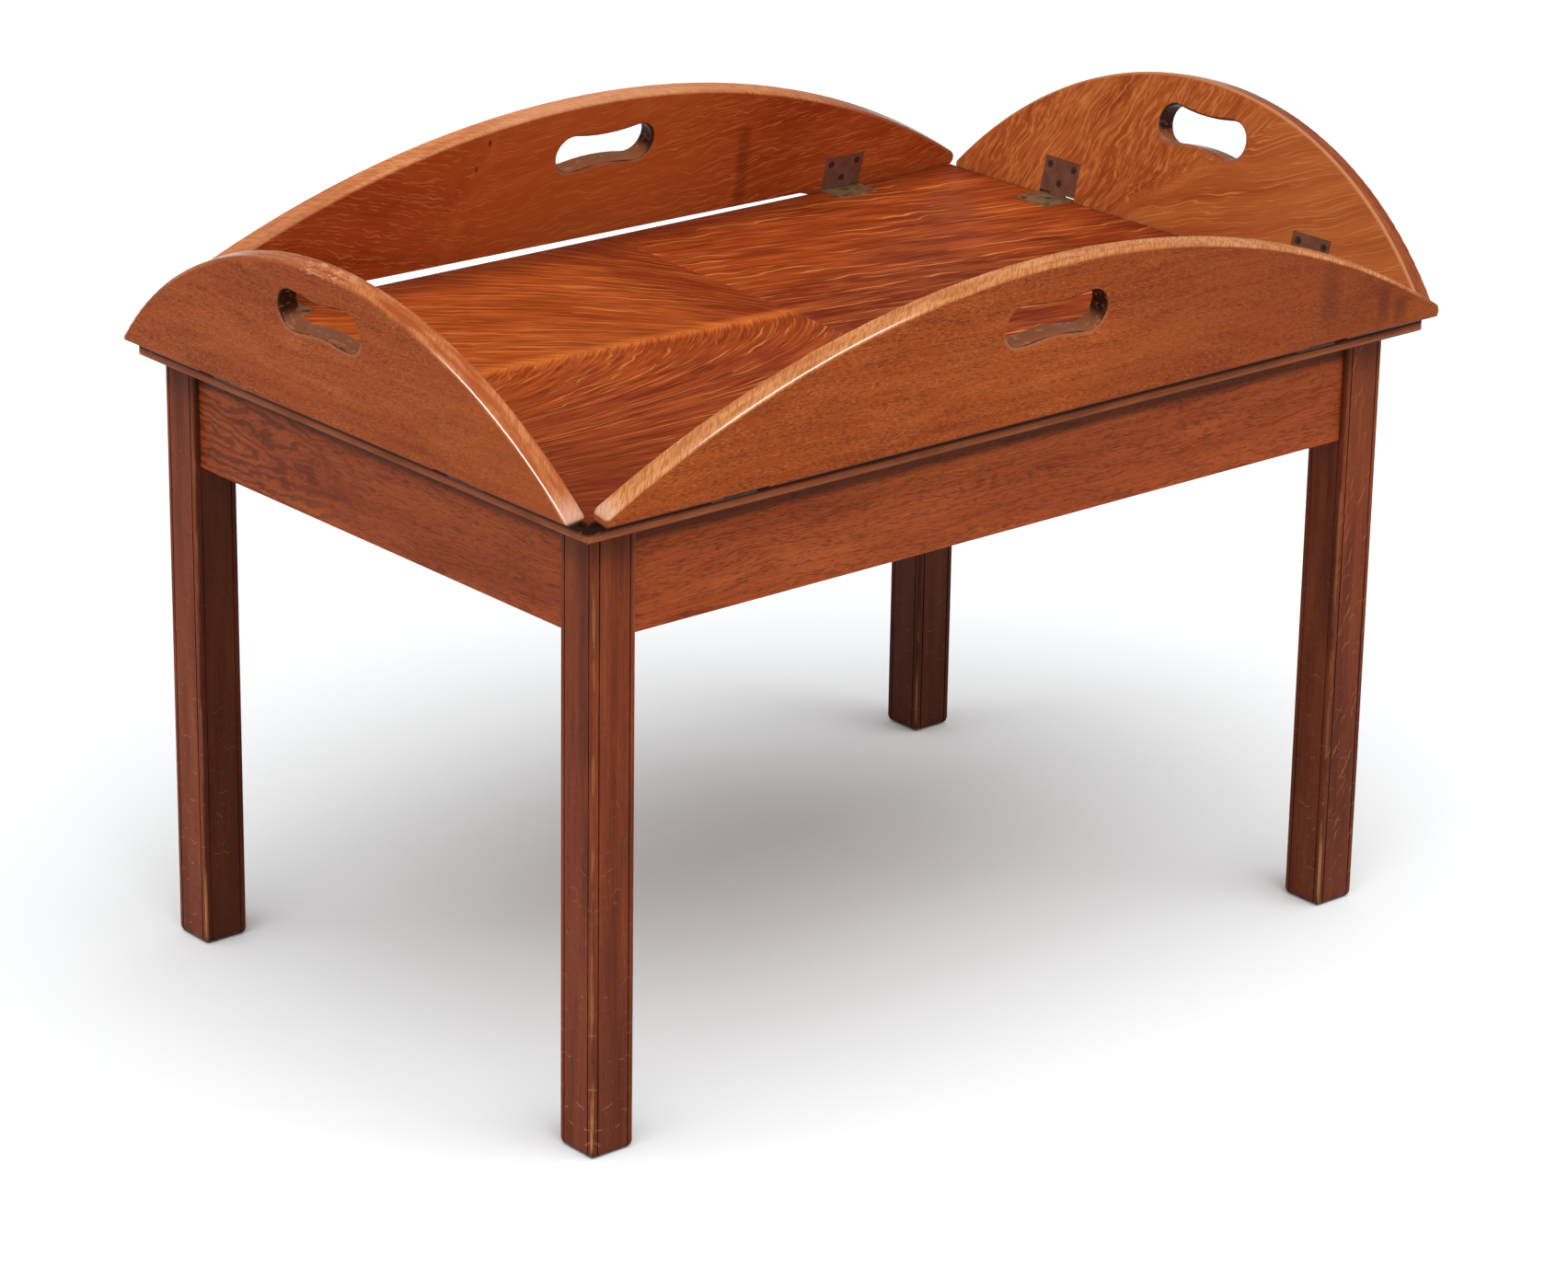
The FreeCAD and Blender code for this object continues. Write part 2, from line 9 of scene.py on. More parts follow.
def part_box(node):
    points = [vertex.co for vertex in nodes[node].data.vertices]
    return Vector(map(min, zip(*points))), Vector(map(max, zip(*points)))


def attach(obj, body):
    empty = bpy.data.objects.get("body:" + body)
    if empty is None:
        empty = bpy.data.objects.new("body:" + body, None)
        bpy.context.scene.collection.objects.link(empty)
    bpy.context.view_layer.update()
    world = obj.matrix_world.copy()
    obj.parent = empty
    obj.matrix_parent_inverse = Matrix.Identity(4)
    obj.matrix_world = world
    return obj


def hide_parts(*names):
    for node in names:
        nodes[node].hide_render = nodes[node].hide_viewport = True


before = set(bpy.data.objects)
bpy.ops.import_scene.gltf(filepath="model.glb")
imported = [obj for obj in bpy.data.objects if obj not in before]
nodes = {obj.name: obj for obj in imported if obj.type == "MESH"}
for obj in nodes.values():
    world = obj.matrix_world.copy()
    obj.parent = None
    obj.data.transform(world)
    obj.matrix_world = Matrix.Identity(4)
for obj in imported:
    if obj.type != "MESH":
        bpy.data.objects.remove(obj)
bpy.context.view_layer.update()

MM = 0.001

SIDES = ("front", "back", "left", "right")
CORNERS = ("front_left", "front_right", "back_left", "back_right")
X_AXIS = Vector((1, 0, 0))
Y_AXIS = Vector((0, 1, 0))
Z_AXIS = Vector((0, 0, 1))


def middle_of(name):
    low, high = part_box(name)
    return (Vector(low) + Vector(high)) / 2


def srgb(red, green, blue):
    """A colour written as the eye sees it, 0 to 255, in the linear values that shaders take."""
    def linear(channel):
        c = channel / 255
        return c / 12.92 if c <= 0.04045 else ((c + 0.055) / 1.055) ** 2.4
    return (linear(red), linear(green), linear(blue), 1.0)


# Node trees. In the tables below sizes and places are in mm, strengths and levels go from 0 to 1,
# and a pair of levels or places names where a soft step starts and where it is full.

NOISE_MEAN = 0.5
FIBRE_LEVELS = (0.3, 0.7)

# How a wood is finished: depth of its relief, roughness from fibre to fibre, and shine
Finish = namedtuple("Finish", "relief smooth rough specular")


class Coat:
    """A colour laid over another one, and how strongly it covers where its mask is full."""

    def __init__(self, red, green, blue, strength):
        self.color = srgb(red, green, blue)
        self.strength = strength


class Field:
    """A number that varies over a surface. Sums of fields are written as sums of numbers."""

    def __init__(self, shader, socket):
        self.shader = shader
        self.socket = socket

    def math(self, operation, other=0.0, swap=False, clamp=False):
        node = self.shader.add("ShaderNodeMath")
        node.operation = operation
        node.use_clamp = clamp
        first, second = (other, self) if swap else (self, other)
        self.shader.feed(node.inputs[0], first)
        self.shader.feed(node.inputs[1], second)
        return Field(self.shader, node.outputs[0])

    def __add__(self, other):
        return self.math("ADD", other)

    def __sub__(self, other):
        return self.math("SUBTRACT", other)

    def __rsub__(self, other):
        return self.math("SUBTRACT", other, swap=True)

    def __mul__(self, other):
        return self.math("MULTIPLY", other)

    def __truediv__(self, other):
        return self.math("DIVIDE", other)

    __radd__ = __add__
    __rmul__ = __mul__

    def __neg__(self):
        return self.math("MULTIPLY", -1.0)

    def size(self):
        return self.math("ABSOLUTE")

    def sign(self):
        return self.math("SIGN")

    def clamped(self):
        return self.math("ADD", 0.0, clamp=True)

    def larger(self, other):
        return self.math("MAXIMUM", other)

    def swing(self, reach):
        """Noise, 0 to 1, as a swing about zero over a given reach."""
        return (self - NOISE_MEAN) * reach

    def step(self, low, high, out_low=0.0, out_high=1.0):
        """A smooth step between two levels as the field goes from low to high."""
        node = self.shader.add("ShaderNodeMapRange")
        node.interpolation_type = "SMOOTHSTEP"
        self.shader.feed(node.inputs["Value"], self)
        if low > high:
            low, high, out_low, out_high = high, low, out_high, out_low
        node.inputs["From Min"].default_value = low
        node.inputs["From Max"].default_value = high
        node.inputs["To Min"].default_value = out_low
        node.inputs["To Max"].default_value = out_high
        return Field(self.shader, node.outputs["Result"])


def length(a, b):
    return (a * a + b * b).math("SQRT")


def turned(along, across, angle):
    """Two fields turned by an angle that is a field too."""
    cosine, sine = angle.math("COSINE"), angle.math("SINE")
    return along * cosine + across * sine, across * cosine - along * sine


class Shader:
    """A material's node tree, with a short call for each kind of node the finishes use."""

    def __init__(self, name):
        self.material = bpy.data.materials.new(name)
        self.material.use_nodes = True
        self.tree = self.material.node_tree
        self.tree.nodes.clear()
        self.surface = self.add("ShaderNodeBsdfPrincipled")
        output = self.add("ShaderNodeOutputMaterial")
        self.tree.links.new(self.surface.outputs["BSDF"], output.inputs["Surface"])
        coordinates = self.add("ShaderNodeTexCoord")
        self.place = coordinates.outputs["Object"]
        self.normal = coordinates.outputs["Normal"]

    def add(self, kind):
        return self.tree.nodes.new(kind)

    def feed(self, socket, value):
        """Links a field or an output to a socket, or sets the socket's own value."""
        if isinstance(value, Field):
            value = value.socket
        if isinstance(value, bpy.types.NodeSocket):
            self.tree.links.new(value, socket)
        else:
            socket.default_value = value

    def dot(self, vector, direction):
        node = self.add("ShaderNodeVectorMath")
        node.operation = "DOT_PRODUCT"
        self.feed(node.inputs[0], vector)
        self.feed(node.inputs[1], direction)
        return Field(self, node.outputs["Value"])

    def along(self, direction, start=0.0):
        """Distance in mm along a direction, from a start given in mm."""
        return self.dot(self.place, tuple(Vector(direction) / MM)) - start

    def facing(self, direction):
        return self.dot(self.normal, tuple(direction))

    def noise(self, place, sizes, detail=2.0, roughness=0.5):
        """Noise, 0 to 1, whose blotches measure about the given sizes, in mm."""
        join = self.add("ShaderNodeCombineXYZ")
        for socket, field, size in zip(join.inputs, place, sizes):
            self.feed(socket, field / size)
        node = self.add("ShaderNodeTexNoise")
        self.tree.links.new(join.outputs[0], node.inputs["Vector"])
        node.inputs["Scale"].default_value = 1.0
        node.inputs["Detail"].default_value = detail
        node.inputs["Roughness"].default_value = roughness
        return Field(self, node.outputs["Fac"])

    def mix(self, factor, a, b):
        node = self.add("ShaderNodeMix")
        node.data_type = "RGBA"
        self.feed(node.inputs["Factor"], factor)
        sockets = [socket for socket in node.inputs if socket.type == "RGBA"]
        self.feed(sockets[0], a)
        self.feed(sockets[1], b)
        return next(socket for socket in node.outputs if socket.type == "RGBA")

    def lay(self, color, coat, mask):
        """A coat laid over a colour where its mask is 1."""
        return self.mix(mask * coat.strength, color, coat.color)

    def bump(self, height, depth):
        """Relief of a given depth in mm."""
        node = self.add("ShaderNodeBump")
        node.inputs["Distance"].default_value = depth * MM
        self.feed(node.inputs["Height"], height)
        self.tree.links.new(node.outputs["Normal"], self.surface.inputs["Normal"])

    def finish(self, color, roughness, specular, metallic=0.0):
        self.feed(self.surface.inputs["Base Color"], color)
        self.feed(self.surface.inputs["Roughness"], roughness)
        self.surface.inputs["Specular IOR Level"].default_value = specular
        self.surface.inputs["Metallic"].default_value = metallic
        return self.material

    def polish(self, color, fine, finish, gloss=0.0):
        """Closes a wood: its fibres give the relief and the roughness, less any gloss."""
        self.bump(fine, finish.relief)
        roughness = fine.step(*FIBRE_LEVELS, finish.smooth, finish.rough) - gloss
        return self.finish(color, roughness, finish.specular)


# Wood: places are given along the grain, across it and through it

FIBRE_SIZES = (60.0, 0.9, 0.9)
BOARD_PATCH = (220.0, 26.0, 26.0)
DARK_TO_MIDDLE = (0.36, 0.52)
MIDDLE_TO_LIGHT = (0.50, 0.66)

PORE_PATCH = (45.0, 6.0, 6.0)
PORE_PATCH_SWING = 0.3
PORE_LEVELS = (0.70, 0.80)
PORE_LEVELS_DROP = 0.2

# Rays: sizes of their slow sway and quick shake in runs and spacings, and the reach of the shake
SWAY_RUNS, SWAY_SPACINGS = 2.2, 5
SHAKE_RUNS, SHAKE_SPACINGS, SHAKE_REACH = 0.45, 2, 1.3
# Sizes of the noise that breaks the rows: much less than a row, so that each breaks elsewhere, and in mm
ROW_NOISE_SIZE, ROW_NOISE_DEPTH = 0.137, 30.0
RAY_LEVELS = (0.60, 0.78)
THINNEST_RAY = 0.005
RAY_EDGE = 2.4


def fibres(shader, place):
    """Fine streaks along the grain."""
    return shader.noise(place, FIBRE_SIZES, detail=3.0, roughness=0.6)


def tones(shader, place, palette, patch=BOARD_PATCH, streak=0.5):
    """Brown that drifts between three tones in long patches and in fine streaks."""
    dark, middle, light = palette
    drift = shader.noise(place, patch, detail=2.0)
    fine = fibres(shader, place)
    level = drift * (1 - streak) + fine * streak
    shade = shader.mix(level.step(*DARK_TO_MIDDLE), dark, middle)
    return shader.mix(level.step(*MIDDLE_TO_LIGHT), shade, light), fine


def pores(shader, place, run, gap, share):
    """Short open pores of a given run and gap, 1 where a pore is."""
    grain = shader.noise(place, (run, gap, gap), detail=1.0)
    patches = shader.noise(place, PORE_PATCH, detail=1.0)
    low, high = (level - PORE_LEVELS_DROP * share for level in PORE_LEVELS)
    return (grain + patches.swing(PORE_PATCH_SWING)).step(low, high)


def rays(shader, place, spacing, run, width, wander, share):
    """Soft broken lines along the grain, a spacing apart across it, 1 in the middle of a line."""
    along, across, through = place
    sway_sizes = (SWAY_RUNS * run, SWAY_SPACINGS * spacing, SWAY_SPACINGS * spacing)
    shake_sizes = (SHAKE_RUNS * run, SHAKE_SPACINGS * spacing, SHAKE_SPACINGS * spacing)
    sway = shader.noise(place, sway_sizes, detail=1.0).swing(2 * wander)
    shake = shader.noise(place, shake_sizes, detail=1.0).swing(SHAKE_REACH * spacing)
    row = (across + sway + shake) / spacing
    line = row.math("FLOOR")
    from_middle = (row - line - 0.5).size()
    gate = shader.noise((along, line, through), (run, ROW_NOISE_SIZE, ROW_NOISE_DEPTH), detail=1.5)
    low, high = (level - share for level in RAY_LEVELS)
    present = gate.step(low, high)
    half = present * (width / 2 / spacing) + THINNEST_RAY
    return ((1.0 - from_middle / half) * RAY_EDGE).clamped() * present


# Tray top: four sheets of veneer that meet a little off the tray's middle, on seams laid askew.
# Their flecks fan out from a spine along the left seam like a feather.

SEAM_SHIFT = Vector((0.021, 0.023, 0.0))
SEAM_TURN = math.radians(-4.0)
SEAM_BLEND = 0.5
# Each sheet is cut from another depth of the noise
SHEET_DEPTH_X, SHEET_DEPTH_Y = 40.0, 3.0
# Lie of the flecks: the front left ones lean at the spine and level out at a distance from it
FRONT_LEFT_LEAN = math.radians(70.0)
FRONT_LEFT_LEVEL_OUT = 190.0
# The back left ones slope like barbs and curve near the cross seam. The scale keeps their size.
BACK_LEFT_SLOPE = 0.65
BACK_LEFT_CURVE = 90.0
BACK_LEFT_REACH = 60.0
BACK_LEFT_SCALE = 0.84
BACK_RIGHT_LEAN = math.radians(-8.0)
FRONT_RIGHT_LEAN = math.radians(4.0)

TOP_TONES = (srgb(110, 37, 15), srgb(134, 51, 21), srgb(155, 65, 27))
TOP_PATCH = (60.0, 15.0, 15.0)
TOP_STREAK = 0.2
TOP_FINISH = Finish(relief=0.02, smooth=0.30, rough=0.40, specular=0.012)

# Gold: strength on the back left sheet, over the spine and on the back right sheet, and its spread
TOP_GOLD = srgb(180, 84, 32)
GOLD_BACK_LEFT, GOLD_OVER_SPINE, GOLD_BACK_RIGHT = 0.42, 0.34, 0.12
OVER_SPINE = (95.0, 0.0)
BACK_RIGHT_OUT = (35.0, 90.0)
# Deeper brown on the right: strength at the front and along the seam
TOP_DEEP = srgb(98, 32, 16)
DEEP_FRONT, DEEP_SEAM = 0.15, 0.32
RIGHT_SEAM = (60.0, 15.0)
# Dark wedge behind the spine, beside the cross seam
WEDGE = Coat(112, 34, 15, 0.74)
WEDGE_OUT = (88.0, 40.0)
WEDGE_BACK = (-2.0, 16.0)
# Dark clouds, partly painted shade, stronger on the front sheets
TOP_CLOUD_SHADE = srgb(98, 32, 14)
CLOUD_SIZES = (46.0, 11.0, 11.0)
CLOUD_LEVELS = (0.56, 0.70)
CLOUD_STRENGTH, CLOUD_SHADE_MORE_AT_FRONT = 0.3, 0.2
# Fine lines, pale and dark, stronger on the golden sheet
LINE_SIZES = (40.0, 1.5, 1.5)
PALE_LINE, DARK_LINE = srgb(206, 110, 50), srgb(92, 30, 13)
PALE_LINE_LEVELS, DARK_LINE_LEVELS = (0.52, 0.64), (0.47, 0.35)
PALE_LINE_STRENGTH, PALE_LINE_MORE_LEFT, PALE_LINE_MORE_GOLDEN = 0.3, 0.06, 0.1
DARK_LINE_STRENGTH, DARK_LINE_MORE_GOLDEN = 0.4, 0.08
# Hair lines and flecks, calmer beside the spine
HAIR = Coat(214, 122, 58, 0.4)
HAIR_RAYS = dict(spacing=4.6, run=40.0, width=1.2, wander=8.0, share=0.12)
FLECK = srgb(226, 136, 68)
FLECK_RAYS = dict(spacing=11.5, run=70.0, width=2.5, wander=14.0, share=0.17)
FLECK_STRENGTH, FLECK_LESS_GOLDEN = 0.58, 0.2
CALM_SIDE = (36.0, 4.0)
CALM = 0.6
# Glow along the spine
TOP_GLOW = srgb(216, 116, 50)
GLOW_SIDE = (13.0, 1.0)
GLOW_RUN = (50.0, -10.0)
GLOW_LEVELS, GLOW_STRENGTHS = (0.35, 0.6), (0.25, 0.65)
# Dirt and painted shade at the back, at both ends and in the near corner: how ragged, from where to
# where, how strong
TOP_DIRT_AND_SHADE = srgb(96, 31, 13)
DIRT_AND_SHADE_RAGGED_SIZES = (60.0, 20.0, 20.0)
BACK_DIRT_AND_SHADE = (40.0, (200.0, 246.0), 0.5)
END_DIRT_AND_SHADE = (30.0, (345.0, 384.0), 0.35)
NEAR_CORNER_DIRT_AND_SHADE = (80.0, (330.0, 520.0), 0.45)


def top_dirt_and_shade(shader, centre, x, y, through):
    """How dirty and how shaded the top is painted, 0 to 1."""
    rim_x, rim_y = shader.along(X_AXIS, centre.x / MM), shader.along(Y_AXIS, centre.y / MM)
    ragged = shader.noise((x, y, through), DIRT_AND_SHADE_RAGGED_SIZES, detail=2.0)
    places = ((rim_y, BACK_DIRT_AND_SHADE), (rim_x.size(), END_DIRT_AND_SHADE), (-(rim_x + rim_y), NEAR_CORNER_DIRT_AND_SHADE))
    bands = [
        (place + ragged.swing(reach)).step(*band) * strength
        for place, (reach, band, strength) in places
    ]
    return sum(bands).clamped()


def top_material():
    shader = Shader("oak_top")
    centre = middle_of("tray_core")
    meet = centre + SEAM_SHIFT
    spine = Vector((math.cos(SEAM_TURN), math.sin(SEAM_TURN), 0))
    cross = Vector((-math.sin(SEAM_TURN), math.cos(SEAM_TURN), 0))
    x = shader.along(spine, meet.dot(spine) / MM)
    y = shader.along(cross, meet.dot(cross) / MM)
    out, side = x.size(), y.size()
    left, back = x.step(SEAM_BLEND, -SEAM_BLEND), y.step(-SEAM_BLEND, SEAM_BLEND)
    right, front = 1.0 - left, 1.0 - back
    golden = left * back

    hooked = (1.0 - side / FRONT_LEFT_LEVEL_OUT) * FRONT_LEFT_LEAN
    lean = left * front * hooked + right * (back * BACK_RIGHT_LEAN + front * FRONT_RIGHT_LEAN)
    plain_along, plain_across = turned(out, side, lean)
    curve = (out / -BACK_LEFT_REACH).math("EXPONENT") * BACK_LEFT_CURVE
    barb_along = out + side * BACK_LEFT_SLOPE
    barb_across = side - out * BACK_LEFT_SLOPE + curve
    place = (
        golden * barb_along * BACK_LEFT_SCALE + (1.0 - golden) * plain_along,
        golden * barb_across * BACK_LEFT_SCALE + (1.0 - golden) * plain_across,
        x.sign() * SHEET_DEPTH_X + y.sign() * SHEET_DEPTH_Y,
    )

    color, fine = tones(shader, place, TOP_TONES, TOP_PATCH, TOP_STREAK)
    over_spine = left * front * side.step(*OVER_SPINE)
    back_right = right * back * side.step(*BACK_RIGHT_OUT)
    gold = golden * GOLD_BACK_LEFT + over_spine * GOLD_OVER_SPINE + back_right * GOLD_BACK_RIGHT
    color = shader.mix(gold, color, TOP_GOLD)
    deep = right * (front * DEEP_FRONT + side.step(*RIGHT_SEAM) * DEEP_SEAM)
    color = shader.mix(deep, color, TOP_DEEP)
    color = shader.lay(color, WEDGE, out.step(*WEDGE_OUT) * left * y.step(*WEDGE_BACK))
    # Dark clouds, partly painted shade, with more of it on the front sheets
    cloud = shader.noise(place, CLOUD_SIZES, detail=2.0).step(*CLOUD_LEVELS)
    color = shader.mix(cloud * (front * CLOUD_SHADE_MORE_AT_FRONT + CLOUD_STRENGTH), color, TOP_CLOUD_SHADE)

    lines = shader.noise(place, LINE_SIZES, detail=2.0)
    pale = golden * PALE_LINE_MORE_GOLDEN + left * PALE_LINE_MORE_LEFT + PALE_LINE_STRENGTH
    color = shader.mix(lines.step(*PALE_LINE_LEVELS) * pale, color, PALE_LINE)
    dark = golden * DARK_LINE_MORE_GOLDEN + DARK_LINE_STRENGTH
    color = shader.mix(lines.step(*DARK_LINE_LEVELS) * dark, color, DARK_LINE)
    calm = 1.0 - left * side.step(*CALM_SIDE) * CALM
    color = shader.lay(color, HAIR, rays(shader, place, **HAIR_RAYS) * calm)
    flecks = rays(shader, place, **FLECK_RAYS) * calm
    color = shader.mix(flecks * (FLECK_STRENGTH - golden * FLECK_LESS_GOLDEN), color, FLECK)
    glow = side.step(*GLOW_SIDE) * x.step(*GLOW_RUN)
    color = shader.mix(glow * lines.step(*GLOW_LEVELS, *GLOW_STRENGTHS), color, TOP_GLOW)
    # Dirt and painted shade along the back, the ends and the near corner
    color = shader.mix(top_dirt_and_shade(shader, centre, x, y, place[2]), color, TOP_DIRT_AND_SHADE)
    return shader.polish(color, fine, TOP_FINISH)


# Leaves: plain outer faces, figured inner faces, pale worn edges with painted highlights, and hand-holds
# painted dark as shade

LEAF_THICKNESS = 16.0
# Radius of the leaf's tips and how high they sit over the hinge edge
LEAF_TIPS = {"front": (7.0, 5.0), "back": (7.0, 5.0), "left": (4.0, 2.5), "right": (4.0, 2.5)}
SLOT_HALF_LENGTH = 45.0
SLOT_END_RADIUS = 14.25
SLOT_HALF_WAIST = 11.5
# Hand-hold: how far along from the leaf's middle and how far below its crown
SLOT_PLACE = {
    "front": (-7.0, 40.4),
    "back": (14.7, 40.1),
    "left": (0.2, 35.7),
    "right": (-4.7, 38.3),
}
INWARD = {"front": Y_AXIS, "back": -Y_AXIS, "left": X_AXIS, "right": -X_AXIS}
NEARLY_ALONG = 0.9


class Leaf:
    """A leaf's own axes and sizes in mm, measured on its mesh, and its fields in a shader."""

    def __init__(self, side):
        mesh = nodes["leaf_" + side].data
        inner = Vector()
        for face in mesh.polygons:
            if face.normal.dot(INWARD[side]) > NEARLY_ALONG:
                inner += face.normal * face.area
        self.inward = inner.normalized()
        self.run = X_AXIS if side in ("front", "back") else Y_AXIS
        self.up = (Z_AXIS - self.inward * self.inward.z).normalized()
        spans = {}
        for name, axis in (("run", self.run), ("up", self.up), ("inward", self.inward)):
            places = [vertex.co.dot(axis) / MM for vertex in mesh.vertices]
            spans[name] = (min(places), max(places))
        self.middle = sum(spans["run"]) / 2
        self.bottom, self.crown = spans["up"]
        self.face = spans["inward"][1]
        tip_radius, tip_height = LEAF_TIPS[side]
        tip = (spans["run"][1] - spans["run"][0]) / 2 - tip_radius
        drop = self.crown - self.bottom - tip_height
        self.arch_radius = (tip ** 2 + drop ** 2 - tip_radius ** 2) / (2 * (drop - tip_radius))
        self.slot_run, below = SLOT_PLACE[side]
        self.slot_rise = self.crown - self.bottom - below

    def fields(self, shader):
        """Distances from the leaf's middle, from its hinge edge and from its inner face."""
        run = shader.along(self.run, self.middle)
        rise = shader.along(self.up, self.bottom)
        depth = -shader.along(self.inward, self.face)
        return run, rise, depth

    def edge_distance(self, run, rise):
        """Distance inside the arched edge."""
        centre = self.crown - self.bottom - self.arch_radius
        return self.arch_radius - length(run, rise - centre)

    def slot_distance(self, run, rise):
        """Distance outside the hand-hold."""
        end = SLOT_HALF_LENGTH - SLOT_END_RADIUS
        over = (rise - self.slot_rise).size()
        past = (run - self.slot_run).size() - end
        round_end = length(past, over) - SLOT_END_RADIUS
        straight = over - (past + end).step(0.0, end, SLOT_HALF_WAIST, SLOT_END_RADIUS)
        beyond = past.math("GREATER_THAN", 0.0)
        return round_end * beyond + straight * (1.0 - beyond)


# Old stains: how far along the leaf, from and to which height, half width and strength
OUTER_STAINS = {
    "front": (
        (262.0, 16.0, 62.0, 15.0, 0.42),
        (318.0, 10.0, 36.0, 9.0, 0.5),
        (336.0, 6.0, 26.0, 10.0, 0.55),
        (300.0, 4.0, 48.0, 40.0, 0.22),
        (64.0, 22.0, 27.0, 2.0, 0.4),
        (-41.0, 105.0, 109.0, 1.6, 0.5),
    ),
}
INNER_STAINS = {
    "back": (
        (158.0, 4.0, 70.0, 9.0, 0.38),
        (-95.5, 98.5, 103.5, 2.2, 0.9),
        (-104.4, 79.0, 83.0, 2.0, 0.8),
    ),
}
STAIN = srgb(84, 36, 20)
STAIN_SLANT = 0.12
STAIN_CORE = 0.2


def stained(shader, color, run, rise, stains):
    """Dark upright stains with soft edges."""
    for place, low, high, half, strength in stains:
        mask = (run - place + (rise - low) * STAIN_SLANT).size().step(half, half * STAIN_CORE)
        mask = mask * rise.step(low - half, low + half) * rise.step(high + half, high - half)
        color = shader.mix(mask * strength, color, STAIN)
    return color


OUTER_TONES = (srgb(136, 57, 21), srgb(154, 70, 25), srgb(168, 82, 32))
OUTER_PATCH = (220.0, 40.0, 40.0)
OUTER_SWAY_SIZES = (160.0, 60.0, 60.0)
OUTER_SWAY = 22.0
MOTTLE = Coat(184, 98, 46, 0.3)
MOTTLE_SLANT = 0.8
MOTTLE_SIZES, MOTTLE_LEVELS = (4.0, 16.0, 16.0), (0.5, 0.7)
MOTTLE_PATCH_SIZES, MOTTLE_PATCH_LEVELS = (70.0, 50.0, 50.0), (0.45, 0.7)
OUTER_PORE = Coat(88, 36, 16, 0.6)
OUTER_PORES = dict(run=5.0, gap=0.6, share=0.85)
GLINT = Coat(196, 110, 56, 0.5)
GLINT_PORES = dict(run=4.0, gap=0.5, share=0.75)
GLINT_SHIFT = 300.0
# Where along the leaf its tone drifts, and to which one
OUTER_DRIFT = {
    "front": ((-60.0, 260.0), Coat(116, 52, 26, 0.42)),
    "left": ((-50.0, -220.0), Coat(180, 90, 34, 0.3)),
}


def leaf_outer(shader, side, run, rise, depth):
    """Plain sawn face: quiet level grain, short pores and a faint slanting mottle."""
    sway = shader.noise((run, rise, depth), OUTER_SWAY_SIZES, detail=1.0)
    level = rise + sway.swing(OUTER_SWAY)
    place = (run, level, depth)
    color, fine = tones(shader, place, OUTER_TONES, OUTER_PATCH)
    mottle = shader.noise((run + rise * MOTTLE_SLANT, rise, depth), MOTTLE_SIZES, detail=2.0)
    patch = shader.noise((run, rise, depth), MOTTLE_PATCH_SIZES, detail=1.0)
    color = shader.lay(color, MOTTLE, mottle.step(*MOTTLE_LEVELS) * patch.step(*MOTTLE_PATCH_LEVELS))
    color = shader.lay(color, OUTER_PORE, pores(shader, place, **OUTER_PORES))
    glint_place = (run + GLINT_SHIFT, level, depth)
    color = shader.lay(color, GLINT, pores(shader, glint_place, **GLINT_PORES))
    if side in OUTER_DRIFT:
        span, coat = OUTER_DRIFT[side]
        color = shader.lay(color, coat, run.step(*span))
    return stained(shader, color, run, rise, OUTER_STAINS.get(side, ())), fine


# Inner faces: where the two fans of flecks meet, its slant, and their lean before and after it
FANS = {
    "front": (0.0, 0.0, 14.0, 12.0),
    "back": (-110.0, 0.0, 13.0, 6.0),
    "left": (0.0, 0.0, 20.0, 16.0),
    "right": (70.0, -1.43, 34.0, 46.0),
}
FAN_WANDER = 60.0
FAN_BLEND = 25.0
FAN_DEPTH = 50.0
# The front and left ones aren't seen in the photograph and are taken as plain
UNSEEN_TONES = (srgb(122, 48, 20), srgb(152, 68, 30), srgb(170, 84, 38))
INNER_TONES = {
    "front": UNSEEN_TONES,
    "back": (srgb(148, 58, 23), srgb(171, 75, 32), srgb(187, 91, 42)),
    "left": UNSEEN_TONES,
    "right": (srgb(158, 71, 32), srgb(186, 95, 46), srgb(204, 116, 61)),
}
# How far the flecks wander up and down
INNER_SWAY_SIZES = (90.0, 70.0, 70.0)
INNER_SWAY = {"front": 44.0, "back": 20.0, "left": 44.0, "right": 40.0}
# How much the second fan breaks up into short curly flecks, pale ones and fainter dark ones
INNER_CURL = {"front": 0.2, "back": 0.1, "left": 0.2, "right": 0.6}
CURL_SIZES = (15.0, 2.6, 2.6)
PALE_CURL, DARK_CURL = srgb(220, 136, 70), srgb(136, 56, 24)
PALE_CURL_LEVELS, DARK_CURL_LEVELS = (0.52, 0.68), (0.46, 0.34)
DARK_CURL_SHARE = 0.6
# Flecks: spacing, run, width, wander and strength, first of the fine ones, then of the long ones
UNSEEN_FLECKS = ((4.0, 34.0, 1.3, 5.0, 0.3), (8.5, 60.0, 2.0, 9.0, 0.45))
INNER_FLECKS = {
    "front": UNSEEN_FLECKS,
    "back": ((2.9, 18.0, 1.1, 3.0, 0.42), (6.0, 30.0, 1.5, 4.0, 0.36)),
    "left": UNSEEN_FLECKS,
    "right": ((3.4, 20.0, 1.1, 5.0, 0.55), (6.5, 40.0, 1.7, 8.0, 0.75)),
}
INNER_FLECK = srgb(220, 138, 74)
INNER_FLECK_SHARE = 0.16
BACK_MIDDLE, BACK_MIDDLE_SPAN = Coat(208, 112, 54, 0.34), (200.0, 50.0)
RIGHT_NEAR_END, RIGHT_NEAR_SPAN = Coat(224, 142, 82, 0.22), (-10.0, -140.0)


